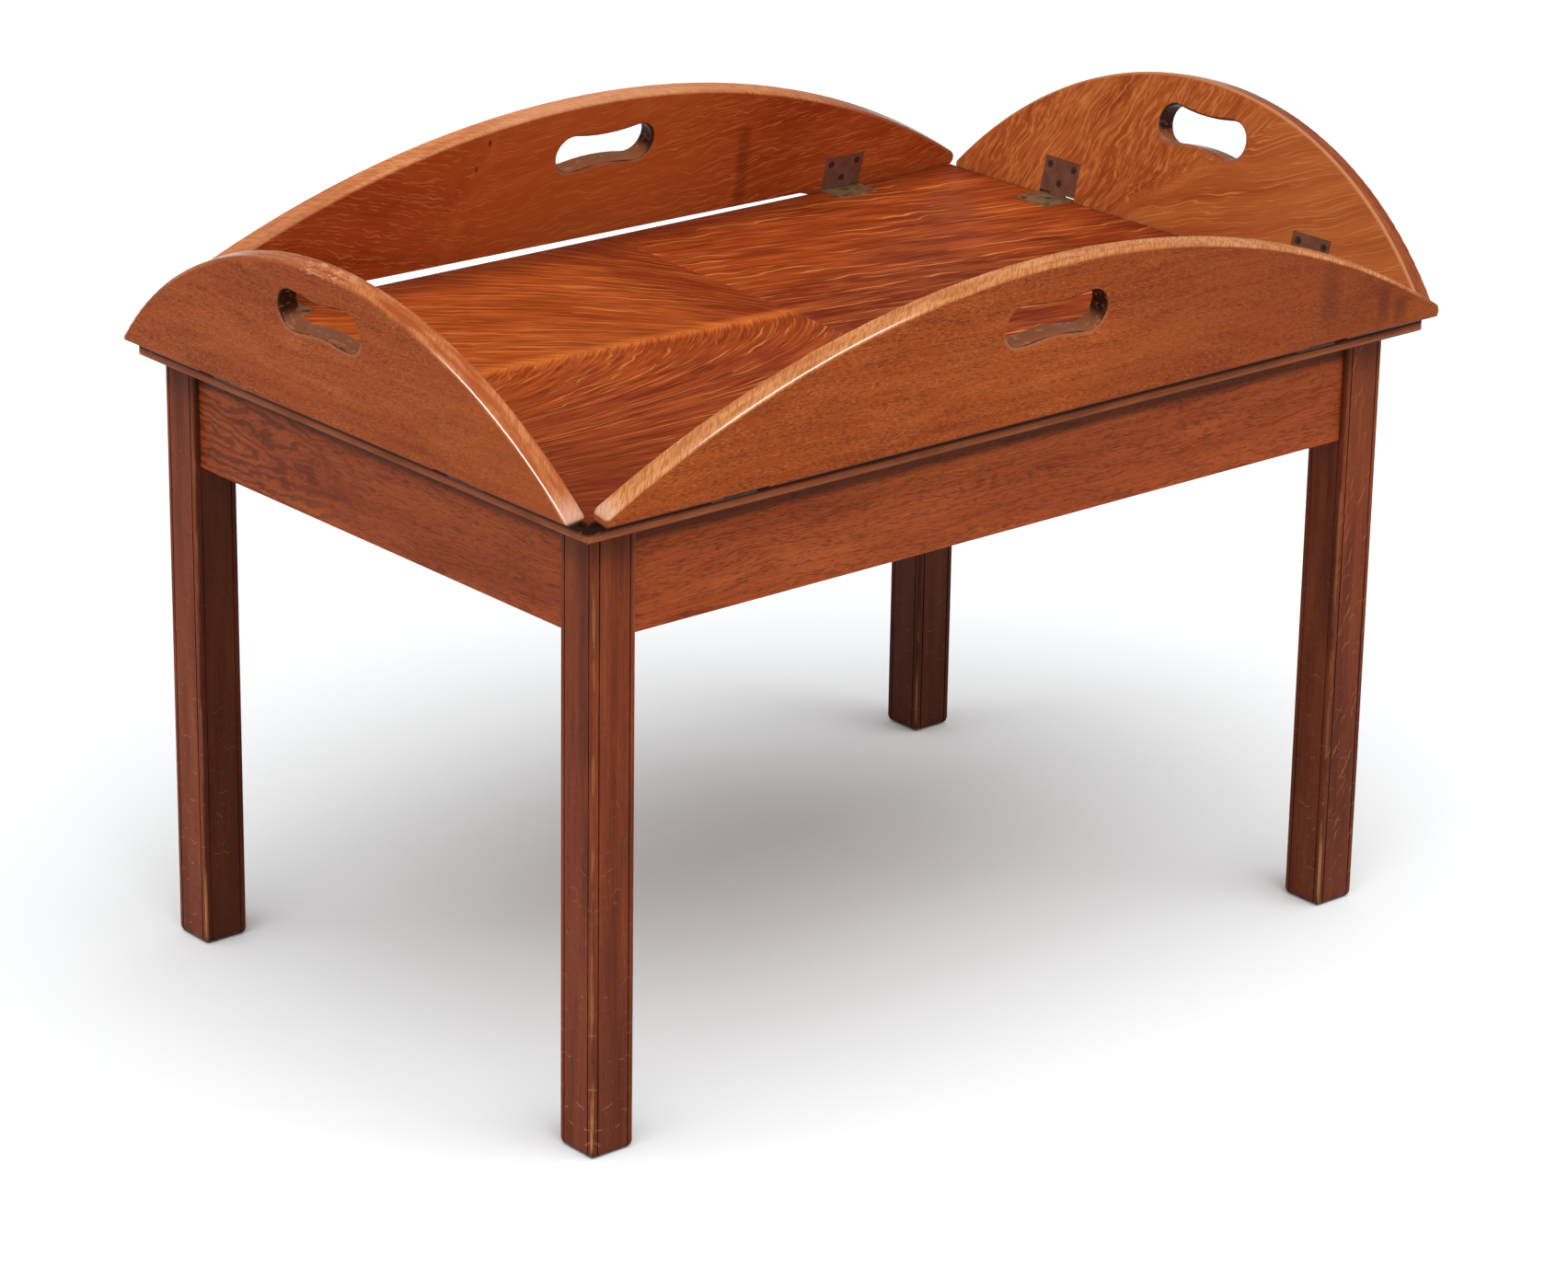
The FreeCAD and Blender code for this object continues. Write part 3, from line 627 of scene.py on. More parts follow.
def leaf_inner(shader, side, run, rise, depth):
    """Figured face: ray flecks that fan out from a slanting line."""
    start, slant, before, after = FANS[side]
    sway = shader.noise((run, rise, depth), INNER_SWAY_SIZES, detail=1.5)
    from_line = run - start - rise * slant
    half = (from_line + sway.swing(FAN_WANDER)).step(-FAN_BLEND, FAN_BLEND)
    low, high = math.radians(before), math.radians(after)
    lean = half * (high - low) + low
    climb = rise + sway.swing(INNER_SWAY[side])
    place = (*turned(from_line.size(), climb, lean), half * FAN_DEPTH)
    color, _ = tones(shader, place, INNER_TONES[side])
    curl, curly = shader.noise(place, CURL_SIZES, detail=2.0), INNER_CURL[side]
    color = shader.mix(curl.step(*PALE_CURL_LEVELS) * half * curly, color, PALE_CURL)
    dark_curl = curl.step(*DARK_CURL_LEVELS) * half * (DARK_CURL_SHARE * curly)
    color = shader.mix(dark_curl, color, DARK_CURL)
    for spacing, reach, width, wander, strength in INNER_FLECKS[side]:
        flecks = rays(shader, place, spacing, reach, width, wander, INNER_FLECK_SHARE)
        color = shader.mix(flecks * strength, color, INNER_FLECK)
    if side == "back":
        color = shader.lay(color, BACK_MIDDLE, run.size().step(*BACK_MIDDLE_SPAN))
    if side == "right":
        color = shader.lay(color, RIGHT_NEAR_END, run.step(*RIGHT_NEAR_SPAN))
    return stained(shader, color, run, rise, INNER_STAINS.get(side, ()))


# Arched edges: two tones and a crossed hatch, in a band with a ragged border
EDGE_TONES = {
    "front": (srgb(188, 118, 70), srgb(210, 144, 92)),
    "back": (srgb(190, 116, 72), srgb(208, 136, 90)),
    "left": (srgb(162, 78, 42), srgb(194, 122, 76)),
    # The right leaf's edge is painted darker, as painted shade on that edge
    "right": (srgb(122, 56, 33), srgb(150, 78, 48)),
}
EDGE_PATCH_SIZES, EDGE_PATCH_LEVELS = (45.0, 30.0, 6.0), (0.35, 0.65)
HATCH = Coat(150, 82, 42, 0.55)
HATCH_SIZES, HATCH_LEVELS = (1.6, 12.0, 12.0), (0.46, 0.60)
EDGE_RAGGED_SIZES = (5.0, 3.0, 3.0)
EDGE_BAND, EDGE_BAND_SWING, EDGE_BAND_STRENGTH = (3.0, 1.4), 1.4, 0.9
# Where along the leaf its edge darkens towards the end
DARK_END = {"front": (330.0, 372.0), "back": (190.0, 300.0)}
DARK_END_COAT = Coat(108, 48, 27, 0.8)
# The back leaf's edge is duller on its left flank and paler at its crown
BACK_FLANK, BACK_FLANK_SPAN = Coat(168, 104, 72, 0.35), (-170.0, -270.0)
BACK_CROWN, BACK_CROWN_SPAN = Coat(222, 168, 132, 0.3), (150.0, 40.0)
# How bright the inner arris is rubbed and painted with a highlight
INNER_ARRIS_RUB_AND_HIGHLIGHT = {"back": Coat(214, 150, 104, 0.1), "right": Coat(214, 150, 104, 0.6)}
INNER_ARRIS_DEPTH = (2.2, 1.0)
# Where along the leaf its tip takes a pale painted highlight
TIP_HIGHLIGHT = {"front": (-362.0, -376.0), "left": (-234.0, -248.0)}
TIP_HIGHLIGHT_COAT = Coat(228, 204, 188, 0.3)
# Chips at the crown
CHIPPED_CROWN = {"front": Coat(216, 164, 126, 0.2), "left": Coat(216, 164, 126, 0.5)}
CHIP_SIZES, CHIP_LEVELS = (7.0, 2.4, 4.0), (0.53, 0.6)
CHIP_EDGE, CHIP_MIDDLE, CHIP_RUN = (5.0, 2.5), -8.0, (34.0, 14.0)
# Outer arris: where along the leaf its painted highlight starts and fades again, and how bright it is
ARRIS_HIGHLIGHT = {
    "front": ((-120.0, -170.0), (-330.0, -280.0), Coat(250, 232, 218, 0.8)),
    "left": ((-115.0, -165.0), (-252.0, -240.0), Coat(250, 232, 218, 0.95)),
    "right": ((-60.0, -120.0), (-245.0, -220.0), Coat(250, 232, 218, 0.6)),
}
ARRIS_INSET, ARRIS_SLOPE, ARRIS_SWING = 0.9, 0.6, 0.5
ARRIS_WIDTH, ARRIS_EDGE = (0.75, 0.3), (2.4, 1.6)


def leaf_edge(shader, side, color, edge, run, rise, depth):
    """Sawn edge with a fine crossed hatch, rubbed pale, with a painted highlight on the outer arris
    along one flank and on the tips, and a rubbed and painted highlight on the inner arris.
    """
    hatch = shader.noise((run + depth, run - depth, rise), HATCH_SIZES, detail=1.5)
    patches = shader.noise((run, rise, depth), EDGE_PATCH_SIZES, detail=2.0)
    worn = shader.mix(patches.step(*EDGE_PATCH_LEVELS), *EDGE_TONES[side])
    worn = shader.lay(worn, HATCH, hatch.step(*HATCH_LEVELS))
    if side in DARK_END:
        worn = shader.lay(worn, DARK_END_COAT, run.step(*DARK_END[side]))
    if side == "back":
        worn = shader.lay(worn, BACK_FLANK, run.step(*BACK_FLANK_SPAN))
        worn = shader.lay(worn, BACK_CROWN, run.size().step(*BACK_CROWN_SPAN))
    # Inner arris: rubbed pale, with a painted highlight
    if side in INNER_ARRIS_RUB_AND_HIGHLIGHT:
        worn = shader.lay(worn, INNER_ARRIS_RUB_AND_HIGHLIGHT[side], depth.step(*INNER_ARRIS_DEPTH))
    ragged = shader.noise((run, rise, depth), EDGE_RAGGED_SIZES, detail=2.0)
    band = (edge + ragged.swing(EDGE_BAND_SWING)).step(*EDGE_BAND)
    color = shader.mix(band * EDGE_BAND_STRENGTH, color, worn)
    # Painted highlight on the tip
    if side in TIP_HIGHLIGHT:
        color = shader.lay(color, TIP_HIGHLIGHT_COAT, band * run.step(*TIP_HIGHLIGHT[side]))
    if side in CHIPPED_CROWN:
        chips = shader.noise((run, rise, depth), CHIP_SIZES, detail=3.0).step(*CHIP_LEVELS)
        chips = chips * edge.step(*CHIP_EDGE) * (run - CHIP_MIDDLE).size().step(*CHIP_RUN)
        color = shader.lay(color, CHIPPED_CROWN[side], chips)
    # Painted highlight along the outer arris
    if side in ARRIS_HIGHLIGHT:
        start, end, coat = ARRIS_HIGHLIGHT[side]
        slanting = depth - (LEAF_THICKNESS - ARRIS_INSET) + (edge - ARRIS_INSET) * ARRIS_SLOPE
        arris = (slanting + ragged.swing(ARRIS_SWING)).size().step(*ARRIS_WIDTH)
        arris = arris * edge.step(*ARRIS_EDGE) * run.step(*start) * run.step(*end)
        color = shader.lay(color, coat, arris)
    return color, band


SLOT_RUB_SIZES, SLOT_HIGHLIGHT_LEVELS = (9.0, 3.0, 4.0), (0.55, 0.68)
# Lower rim, rubbed by fingers: how far below the hand-hold's middle and how far round it
SLOT_RIM = Coat(166, 104, 72, 0.6)
SLOT_RIM_BELOW = (2.0, 8.0)
SLOT_RIM_WIDTH, SLOT_RIM_SWING = (4.6, 2.2), 3.0
# Inside the hand-hold: walls painted dark as shade, a lighter floor that faces up, and painted highlight
# spots
SLOT_WALL_SHADE, SLOT_FLOOR, SLOT_HIGHLIGHT = srgb(30, 16, 11), srgb(146, 86, 56), srgb(180, 126, 94)
SLOT_FLOOR_FACING = (0.3, 0.8)
SLOT_HIGHLIGHT_STRENGTH, SLOT_HIGHLIGHT_MORE_ON_FLOOR = 0.3, 0.3
SLOT_INSIDE, SLOT_STRENGTH = (1.5, 0.4), 0.9


def leaf_slot(shader, leaf, color, run, rise, depth):
    """Hand-hold: walls painted dark as shade, a floor lighter where it faces up, painted highlight
    spots, and a lower rim rubbed pale by fingers.
    """
    slot = leaf.slot_distance(run, rise)
    rub = shader.noise((run, rise, depth), SLOT_RUB_SIZES, detail=3.0)
    lower = rise.step(*(leaf.slot_rise - below for below in SLOT_RIM_BELOW))
    rim = (slot + rub.swing(SLOT_RIM_SWING)).step(*SLOT_RIM_WIDTH) * lower
    color = shader.lay(color, SLOT_RIM, rim)
    floor = shader.facing(Z_AXIS).step(*SLOT_FLOOR_FACING)
    # Walls painted dark as shade, with the floor that faces up left lighter
    wall = shader.mix(floor, SLOT_WALL_SHADE, SLOT_FLOOR)
    # Painted highlight spots
    rubbed = rub.step(*SLOT_HIGHLIGHT_LEVELS) * (floor * SLOT_HIGHLIGHT_MORE_ON_FLOOR + SLOT_HIGHLIGHT_STRENGTH)
    wall = shader.mix(rubbed, wall, SLOT_HIGHLIGHT)
    inside = slot.step(*SLOT_INSIDE)
    return shader.mix(inside * SLOT_STRENGTH, color, wall), inside


LEAF_FINISH = Finish(relief=0.02, smooth=0.36, rough=0.46, specular=0.04)
LEAF_GLOSS = 0.2
INNER_FACING = (0.2, 0.6)
# Painted shade: a dark line along the hinge edge outside, for the shade in the gap under the leaf
HINGE_LINE_SHADE, HINGE_LINE_RISE = Coat(50, 24, 15, 0.85), (3.4, 1.2)


def leaf_material(side):
    shader = Shader("oak_leaf_" + side)
    leaf = Leaf(side)
    run, rise, depth = leaf.fields(shader)
    color, fine = leaf_outer(shader, side, run, rise, depth)
    inner = shader.facing(leaf.inward).step(*INNER_FACING)
    color = shader.mix(inner, color, leaf_inner(shader, side, run, rise, depth))
    edge = leaf.edge_distance(run, rise)
    color, band = leaf_edge(shader, side, color, edge, run, rise, depth)
    color, inside = leaf_slot(shader, leaf, color, run, rise, depth)
    # Painted shade along the hinge edge
    color = shader.lay(color, HINGE_LINE_SHADE, rise.step(*HINGE_LINE_RISE) * (1.0 - inner))
    return shader.polish(color, fine, LEAF_FINISH, (band + inside).clamped() * LEAF_GLOSS)


# Aprons: level grain with dark pores, and the arched rings of a flat-sawn board

APRON_TONES = (srgb(134, 57, 26), srgb(159, 73, 34), srgb(173, 86, 43))
APRON_PATCH = (220.0, 30.0, 30.0)
APRON_STREAK = 0.55
APRON_FINISH = Finish(relief=0.03, smooth=0.36, rough=0.48, specular=0.06)
APRON_SWAY_SIZES, APRON_SWAY = (90.0, 40.0, 40.0), 16.0
APRON_PORES = (
    (dict(run=10.0, gap=0.8, share=0.75), Coat(78, 32, 16, 0.34)),
    (dict(run=6.0, gap=0.7, share=0.8), Coat(64, 25, 13, 0.45)),
)
# Rings: where their middle lies along the apron and how strong they are
LONG_APRON_RINGS = (-60.0, 0.1)
SHORT_APRON_RINGS = (175.0, 0.6)
RING = srgb(82, 34, 17)
RING_GAP, RING_STRETCH, RING_MIDDLE = 6.0, 0.13, -8.0
RING_SWAY, RING_WILD, RING_WILD_SIZES = 4.0, 2.2, (22.0, 9.0, 9.0)
RING_LEVELS, RING_NEAR = (0.18, 0.42), (200.0, 50.0)
# Shade of the tray's overhang: how far below the apron's top it ends and is full
OVERHANG_SHADE, OVERHANG_BELOW = Coat(46, 20, 12, 0.72), (18.5, 11.0)


def apron_material(name, run, rings_at, rings_strength):
    shader = Shader(name)
    x, z = shader.along(run), shader.along(Z_AXIS, middle_of("apron_front").z / MM)
    through = shader.along(run.cross(Z_AXIS))
    sway = shader.noise((x, z, through), APRON_SWAY_SIZES, detail=2.0)
    level = z + sway.swing(APRON_SWAY)
    place = (x, level, through)
    color, fine = tones(shader, place, APRON_TONES, APRON_PATCH, APRON_STREAK)
    wild = shader.noise((x, z, through), RING_WILD_SIZES, detail=2.0)
    rings = length((x - rings_at) * RING_STRETCH, level - RING_MIDDLE) / RING_GAP
    rings = rings + sway.swing(RING_SWAY) + wild.swing(RING_WILD)
    ring = (rings - rings.math("FLOOR") - 0.5).size().step(*RING_LEVELS)
    near = (x - rings_at).size().step(*RING_NEAR)
    color = shader.mix(ring * near * rings_strength, color, RING)
    for kind, coat in APRON_PORES:
        color = shader.lay(color, coat, pores(shader, place, **kind))
    low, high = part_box("apron_front")
    half_height = (high[2] - low[2]) / MM / 2
    shade = z.step(*(half_height - below for below in OVERHANG_BELOW))
    color = shader.lay(color, OVERHANG_SHADE, shade)
    return shader.polish(color, fine, APRON_FINISH)


# Tray edge: a dark line of painted shade under the leaves, a band below it rubbed and painted lighter as
# a highlight, and painted shade on the lower arris

LIPPING_TONES = (srgb(82, 36, 20), srgb(114, 54, 30), srgb(134, 68, 39))
LIPPING_PATCH = (90.0, 8.0, 8.0)
LIPPING_FINISH = Finish(relief=0.03, smooth=0.40, rough=0.52, specular=0.03)
# A band rubbed and painted lighter as a highlight, with dark lines of painted shade above and below it
RUB_AND_HIGHLIGHT_BAND = Coat(158, 92, 60, 0.75)
BAND_FROM, BAND_TO = (0.8, 2.4), (7.0, 5.6)
BAND_PATCH_SIZES, BAND_PATCH_LEVELS, BAND_PATCH_STRENGTHS = (40.0, 6.0, 6.0), (0.35, 0.65), (0.5, 1.0)
UPPER_SHADE_LINE, UPPER_LINE_RISE = Coat(34, 16, 11, 0.92), (6.4, 8.4)
LOWER_SHADE_LINE, LOWER_LINE_RISE = Coat(40, 19, 13, 0.6), (2.0, 0.8)
# Chips at the corners: how far from the end they start and are full
CORNER_CHIP = Coat(190, 140, 112, 0.4)
CORNER_CHIP_SIZES, CORNER_CHIP_LEVELS = (5.0, 4.0, 4.0), (0.58, 0.68)
CORNER_CHIP_FROM_END = (26.0, 4.0)


def lipping_material(name, run):
    shader = Shader(name)
    low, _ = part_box("lipping_front")
    rise = shader.along(Z_AXIS, low[2] / MM)
    along = shader.along(run)
    place = (along, rise, shader.along(run.cross(Z_AXIS)))
    color, fine = tones(shader, place, LIPPING_TONES, LIPPING_PATCH)
    # Rubbed band with a painted highlight, then painted shade under the leaves and on the lower arris
    rub = rise.step(*BAND_FROM) * rise.step(*BAND_TO)
    patches = shader.noise(place, BAND_PATCH_SIZES, detail=3.0)
    color = shader.lay(color, RUB_AND_HIGHLIGHT_BAND, rub * patches.step(*BAND_PATCH_LEVELS, *BAND_PATCH_STRENGTHS))
    color = shader.lay(color, UPPER_SHADE_LINE, rise.step(*UPPER_LINE_RISE))
    color = shader.lay(color, LOWER_SHADE_LINE, rise.step(*LOWER_LINE_RISE))
    end = (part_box("lipping_front")[1][0] if run is X_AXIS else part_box("lipping_left")[1][1]) / MM
    corner = along.size().step(*(end - inset for inset in CORNER_CHIP_FROM_END))
    chip = shader.noise(place, CORNER_CHIP_SIZES, detail=2.0)
    color = shader.lay(color, CORNER_CHIP, corner * chip.step(*CORNER_CHIP_LEVELS))
    return shader.polish(color, fine, LIPPING_FINISH)


# Legs: a little stouter than their solids, with feet worn round

LEG_WIDTH = 35.0
# Foot: height over the floor and how far each side is worn in there
FOOT_WEAR = ((0.0, 3.2), (1.0, 1.7), (2.6, 0.6), (5.0, 0.0))
SMOOTH_ANGLE = math.radians(35.0)


def foot_wear(height):
    for (low, low_wear), (high, high_wear) in zip(FOOT_WEAR, FOOT_WEAR[1:]):
        if height <= high:
            return low_wear + (high_wear - low_wear) * (height - low) / (high - low)
    return 0.0


def make_leg(corner):
    low, high = (Vector(point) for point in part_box("leg_" + corner))
    centre = (low + high) / 2
    stouter = LEG_WIDTH * MM / (high.x - low.x)
    mesh = nodes["leg_" + corner].data.copy()
    shape = bmesh.new()
    shape.from_mesh(mesh)
    for height, _ in FOOT_WEAR[1:]:
        pieces = shape.verts[:] + shape.edges[:] + shape.faces[:]
        bmesh.ops.bisect_plane(shape, geom=pieces, plane_co=(0, 0, height * MM), plane_no=Z_AXIS)
    for vertex in shape.verts:
        scale = stouter * (1 - 2 * foot_wear(vertex.co.z / MM) / LEG_WIDTH)
        vertex.co.x = centre.x + (vertex.co.x - centre.x) * scale
        vertex.co.y = centre.y + (vertex.co.y - centre.y) * scale
    shape.to_mesh(mesh)
    shape.free()
    mesh.set_sharp_from_angle(angle=SMOOTH_ANGLE)
    leg = bpy.data.objects.new("worn_leg_" + corner, mesh)
    bpy.context.scene.collection.objects.link(leg)
    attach(leg, "stand")
    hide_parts("leg_" + corner)
    return leg


LEG_TONES = (srgb(98, 42, 22), srgb(124, 57, 31), srgb(140, 70, 39))
LEG_PATCH = (160.0, 14.0, 14.0)
LEG_STREAK = 0.4
LEG_FINISH = Finish(relief=0.03, smooth=0.36, rough=0.48, specular=0.06)
# Each leg is cut from another stretch of the noise
LEG_SHIFT_X, LEG_SHIFT_Y = 500.0, 1300.0
# A step this far to both sides of the middle parts front legs from back ones, or left from right
HALF_GAP = 50.0
LEG_PORE, LEG_PORES = Coat(62, 24, 13, 0.34), dict(run=9.0, gap=0.5, share=0.8)
# Quirks beside the beads, painted dark as shade and dirt: how far below the surface they darken, and how
# much more at the outer corner
QUIRK_SHADE_AND_DIRT = srgb(44, 18, 11)
QUIRK_BELOW, QUIRK_STRENGTH, QUIRK_MORE_OUTSIDE = (0.55, 1.2), 0.25, 0.45
OUTER_CORNER = (0.0, 6.0)
# Beads, rubbed more near the floor and bare just above it
BEAD_FACING = (0.12, 0.4)
BEAD_RUB_SIZES = (50.0, 6.0, 6.0)
RUBBED_BEAD, RUBBED_BEAD_LEVELS = srgb(186, 122, 78), (0.46, 0.60)
RUBBED_BEAD_STRENGTH, RUBBED_BEAD_MORE_LOW, RUBBED_BEAD_LOW = 0.35, 0.55, (150.0, 8.0)
BARE_BEAD, BARE_BEAD_LEVELS = Coat(208, 142, 88, 0.75), (0.30, 0.50)
BARE_BEAD_TOP, BARE_BEAD_BOTTOM = (70.0, 34.0), (4.0, 12.0)
# Slanting scuffs and small specks, more of both near the floor
SCUFF = srgb(190, 134, 98)
SCUFF_RAYS = dict(spacing=8.0, run=9.0, width=0.8, wander=5.0, share=0.09)
SCUFF_SLANT, SCUFF_DEPTH = 0.4, 0.01
SCUFF_STRENGTH, SCUFF_MORE_LOW, SCUFF_LOW = 0.1, 0.6, (330.0, 0.0)
SPECK, SPECK_LOW = Coat(186, 128, 92, 0.55), (360.0, 60.0)
SPECK_SIZES, SPECK_LEVELS = (2.6, 1.3, 1.3), (0.70, 0.76)
# Painted shade of the tray's overhang on the leg heads
LEG_HEAD_SHADE, LEG_HEAD_RISE = Coat(50, 22, 14, 0.5), (404.0, 432.0)
LEG_FOOT, LEG_FOOT_RISE = Coat(70, 34, 20, 0.5), (6.0, 1.0)
# Front faces: darker below, and slanting flecks on the right leg
FRONT_FACING = (0.5, 0.9)
FRONT_SHADE, FRONT_SHADE_LOW = Coat(68, 31, 21, 0.45), (340.0, 60.0)
SLANTING_FLECK = Coat(176, 104, 64, 0.5)
SLANTING_RAYS = dict(spacing=6.0, run=16.0, width=1.1, wander=3.0, share=0.12)
SLANT_COSINE, SLANT_SINE = 0.87, 0.5
# Inward faces: shade on the front legs and on the back ones
INWARD_SHADE, INWARD_FACING = srgb(44, 19, 12), (0.3, 0.9)
INWARD_STRENGTHS = (0.4, 0.68)


def leg_material():
    """Upright grain with long pores, quirks painted dark as shade and dirt, rubbed beads and scuffed
    feet, with painted shade on the heads, low on the front faces and on the inward faces.
    """
    shader = Shader("oak_leg")
    centre = middle_of("leg_back_right") / MM
    x, y, z = shader.along(X_AXIS), shader.along(Y_AXIS), shader.along(Z_AXIS)
    across, deep = x.size() - centre.x, y.size() - centre.y
    place = (z + x.sign() * LEG_SHIFT_X + y.sign() * LEG_SHIFT_Y, across, deep)
    color, fine = tones(shader, place, LEG_TONES, LEG_PATCH, LEG_STREAK)
    color = shader.lay(color, LEG_PORE, pores(shader, place, **LEG_PORES))

    from_axis = across.size().larger(deep.size())
    quirk = from_axis.step(*(LEG_WIDTH / 2 - below for below in QUIRK_BELOW))
    outer = across.step(*OUTER_CORNER) * deep.step(*OUTER_CORNER)
    # Quirks painted dark, as shade and dirt in the grooves
    color = shader.mix(quirk * (outer * QUIRK_MORE_OUTSIDE + QUIRK_STRENGTH), color, QUIRK_SHADE_AND_DIRT)
    bead = (shader.facing(X_AXIS).size() * shader.facing(Y_AXIS).size()).step(*BEAD_FACING)
    rub = shader.noise(place, BEAD_RUB_SIZES, detail=4.0, roughness=0.65)
    rubbed = z.step(*RUBBED_BEAD_LOW) * RUBBED_BEAD_MORE_LOW + RUBBED_BEAD_STRENGTH
    color = shader.mix(bead * rub.step(*RUBBED_BEAD_LEVELS) * rubbed, color, RUBBED_BEAD)
    bare = bead * z.step(*BARE_BEAD_TOP) * z.step(*BARE_BEAD_BOTTOM) * rub.step(*BARE_BEAD_LEVELS)
    color = shader.lay(color, BARE_BEAD, bare)

    scuff_place = (across + deep + z * SCUFF_SLANT, z, place[0] * SCUFF_DEPTH)
    scuffs = rays(shader, scuff_place, **SCUFF_RAYS)
    color = shader.mix(scuffs * (z.step(*SCUFF_LOW) * SCUFF_MORE_LOW + SCUFF_STRENGTH), color, SCUFF)
    specks = shader.noise(place, SPECK_SIZES, detail=2.0).step(*SPECK_LEVELS)
    color = shader.lay(color, SPECK, specks * z.step(*SPECK_LOW))
    # Painted shade under the tray
    color = shader.lay(color, LEG_HEAD_SHADE, z.step(*LEG_HEAD_RISE))
    color = shader.lay(color, LEG_FOOT, z.step(*LEG_FOOT_RISE))

    front_face = (-shader.facing(Y_AXIS)).step(*FRONT_FACING) * y.step(HALF_GAP, -HALF_GAP)
    color = shader.lay(color, FRONT_SHADE, front_face * z.step(*FRONT_SHADE_LOW))
    slanting_place = (
        z * SLANT_COSINE + across * SLANT_SINE,
        across * SLANT_COSINE - z * SLANT_SINE,
        deep,
    )
    slanting = front_face * rays(shader, slanting_place, **SLANTING_RAYS)
    color = shader.lay(color, SLANTING_FLECK, slanting * x.step(-HALF_GAP, HALF_GAP))
    inward_x = -(shader.facing(X_AXIS) * x.sign())
    inward_y = -(shader.facing(Y_AXIS) * y.sign())
    inward = inward_x.larger(inward_y).step(*INWARD_FACING)
    shade = inward * y.step(-HALF_GAP, HALF_GAP, *INWARD_STRENGTHS)
    color = shader.mix(shade, color, INWARD_SHADE)
    return shader.polish(color, fine, LEG_FINISH)


# Hidden wood and metal

RAW_TONES = (srgb(120, 84, 54), srgb(150, 108, 70), srgb(172, 130, 88))
RAW_FINISH = Finish(relief=0.08, smooth=0.68, rough=0.8, specular=0.2)
RAW_PORE, RAW_PORES = Coat(84, 54, 32, 0.5), dict(run=8.0, gap=0.5, share=0.5)

# Metals: dark and light tone, how much they are speckled, and their roughness where rubbed
METALS = {
    "hinge_leaf_metal": (srgb(113, 72, 56), srgb(132, 87, 68), 0.08, 0.5),
    "hinge_tray_metal": (srgb(92, 64, 42), srgb(128, 98, 68), 0.4, 0.42),
    "hinge_leaf_screw": (srgb(54, 36, 30), srgb(80, 56, 46), 0.2, 0.45),
    "hinge_tray_screw": (srgb(66, 46, 30), srgb(104, 80, 54), 0.3, 0.42),
    "screw_steel": (srgb(70, 64, 58), srgb(120, 110, 100), 0.2, 0.35),
}
BLOTCH_SIZES, BLOTCH_LEVELS = (9.0, 9.0, 9.0), (0.3, 0.7)
METAL_SPECK, METAL_SPECK_SIZES = srgb(168, 146, 116), (1.4, 1.4, 1.4)
METAL_SPECK_LEVELS = (0.66, 0.78)
# Darker below the tray's top: how far below it the darkening starts and is full
BELOW_TOP_DARKENING, DARKENING_BELOW = Coat(34, 22, 16, 0.85), (0.6, 2.2)
METAL_RELIEF, METAL_DULLER, METAL_SPECULAR, METAL_SHARE = 0.04, 0.12, 0.2, 0.15


def inner_material():
    shader = Shader("oak_inner")
    place = (shader.along(X_AXIS), shader.along(Y_AXIS), shader.along(Z_AXIS))
    color, fine = tones(shader, place, RAW_TONES)
    color = shader.lay(color, RAW_PORE, pores(shader, place, **RAW_PORES))
    return shader.polish(color, fine, RAW_FINISH)


def metal_material(name):
    """Metal darkened with age, with paler specks where it is rubbed, and darker below the tray's top."""
    dark, light, speckle, shine = METALS[name]
    shader = Shader(name)
    place = (shader.along(X_AXIS), shader.along(Y_AXIS), shader.along(Z_AXIS))
    blotch = shader.noise(place, BLOTCH_SIZES, detail=4.0, roughness=0.6)
    speck = shader.noise(place, METAL_SPECK_SIZES, detail=2.0)
    color = shader.mix(blotch.step(*BLOTCH_LEVELS), dark, light)
    color = shader.mix(speck.step(*METAL_SPECK_LEVELS) * speckle, color, METAL_SPECK)
    tray_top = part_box("veneer_front_left")[1][2] / MM
    color = shader.lay(color, BELOW_TOP_DARKENING, place[2].step(*(tray_top - below for below in DARKENING_BELOW)))
    shader.bump(blotch, METAL_RELIEF)
    roughness = blotch.step(*BLOTCH_LEVELS, shine + METAL_DULLER, shine)
    return shader.finish(color, roughness, METAL_SPECULAR, METAL_SHARE)


def wear(thing, material):
    slots = thing.data.materials
    slots.clear()
    slots.append(material)


def paint(names, material):
    for name in names:
        wear(nodes[name], material)


def dress():
    paint(["veneer_" + corner for corner in CORNERS], top_material())
    for side in SIDES:
        paint(["leaf_" + side], leaf_material(side))
    for mark, run, sides, rings in (
        ("long", X_AXIS, ("front", "back"), LONG_APRON_RINGS),
        ("short", Y_AXIS, ("left", "right"), SHORT_APRON_RINGS),
    ):
        paint(["apron_" + side for side in sides], apron_material("oak_apron_" + mark, run, *rings))
        paint(["lipping_" + side for side in sides], lipping_material("oak_lipping_" + mark, run))
    oak = leg_material()
    for corner in CORNERS:
        wear(make_leg(corner), oak)
    inner = ["tray_core", "batten_left", "batten_right"]
    inner += ["corner_block_" + corner for corner in CORNERS]
    paint(inner, inner_material())
    metals = {name: metal_material(name) for name in METALS}
    for side in SIDES:
        paint(["hinge_leaf_plates_" + side], metals["hinge_leaf_metal"])
        paint(["hinge_leaf_screws_" + side], metals["hinge_leaf_screw"])
        paint(["hinge_tray_plates_" + side, "hinge_pins_" + side], metals["hinge_tray_metal"])
        paint(["hinge_tray_screws_" + side], metals["hinge_tray_screw"])
    paint(["batten_screws"], metals["screw_steel"])


# Studio: the camera fitted to the photograph, a white floor and two wide suns

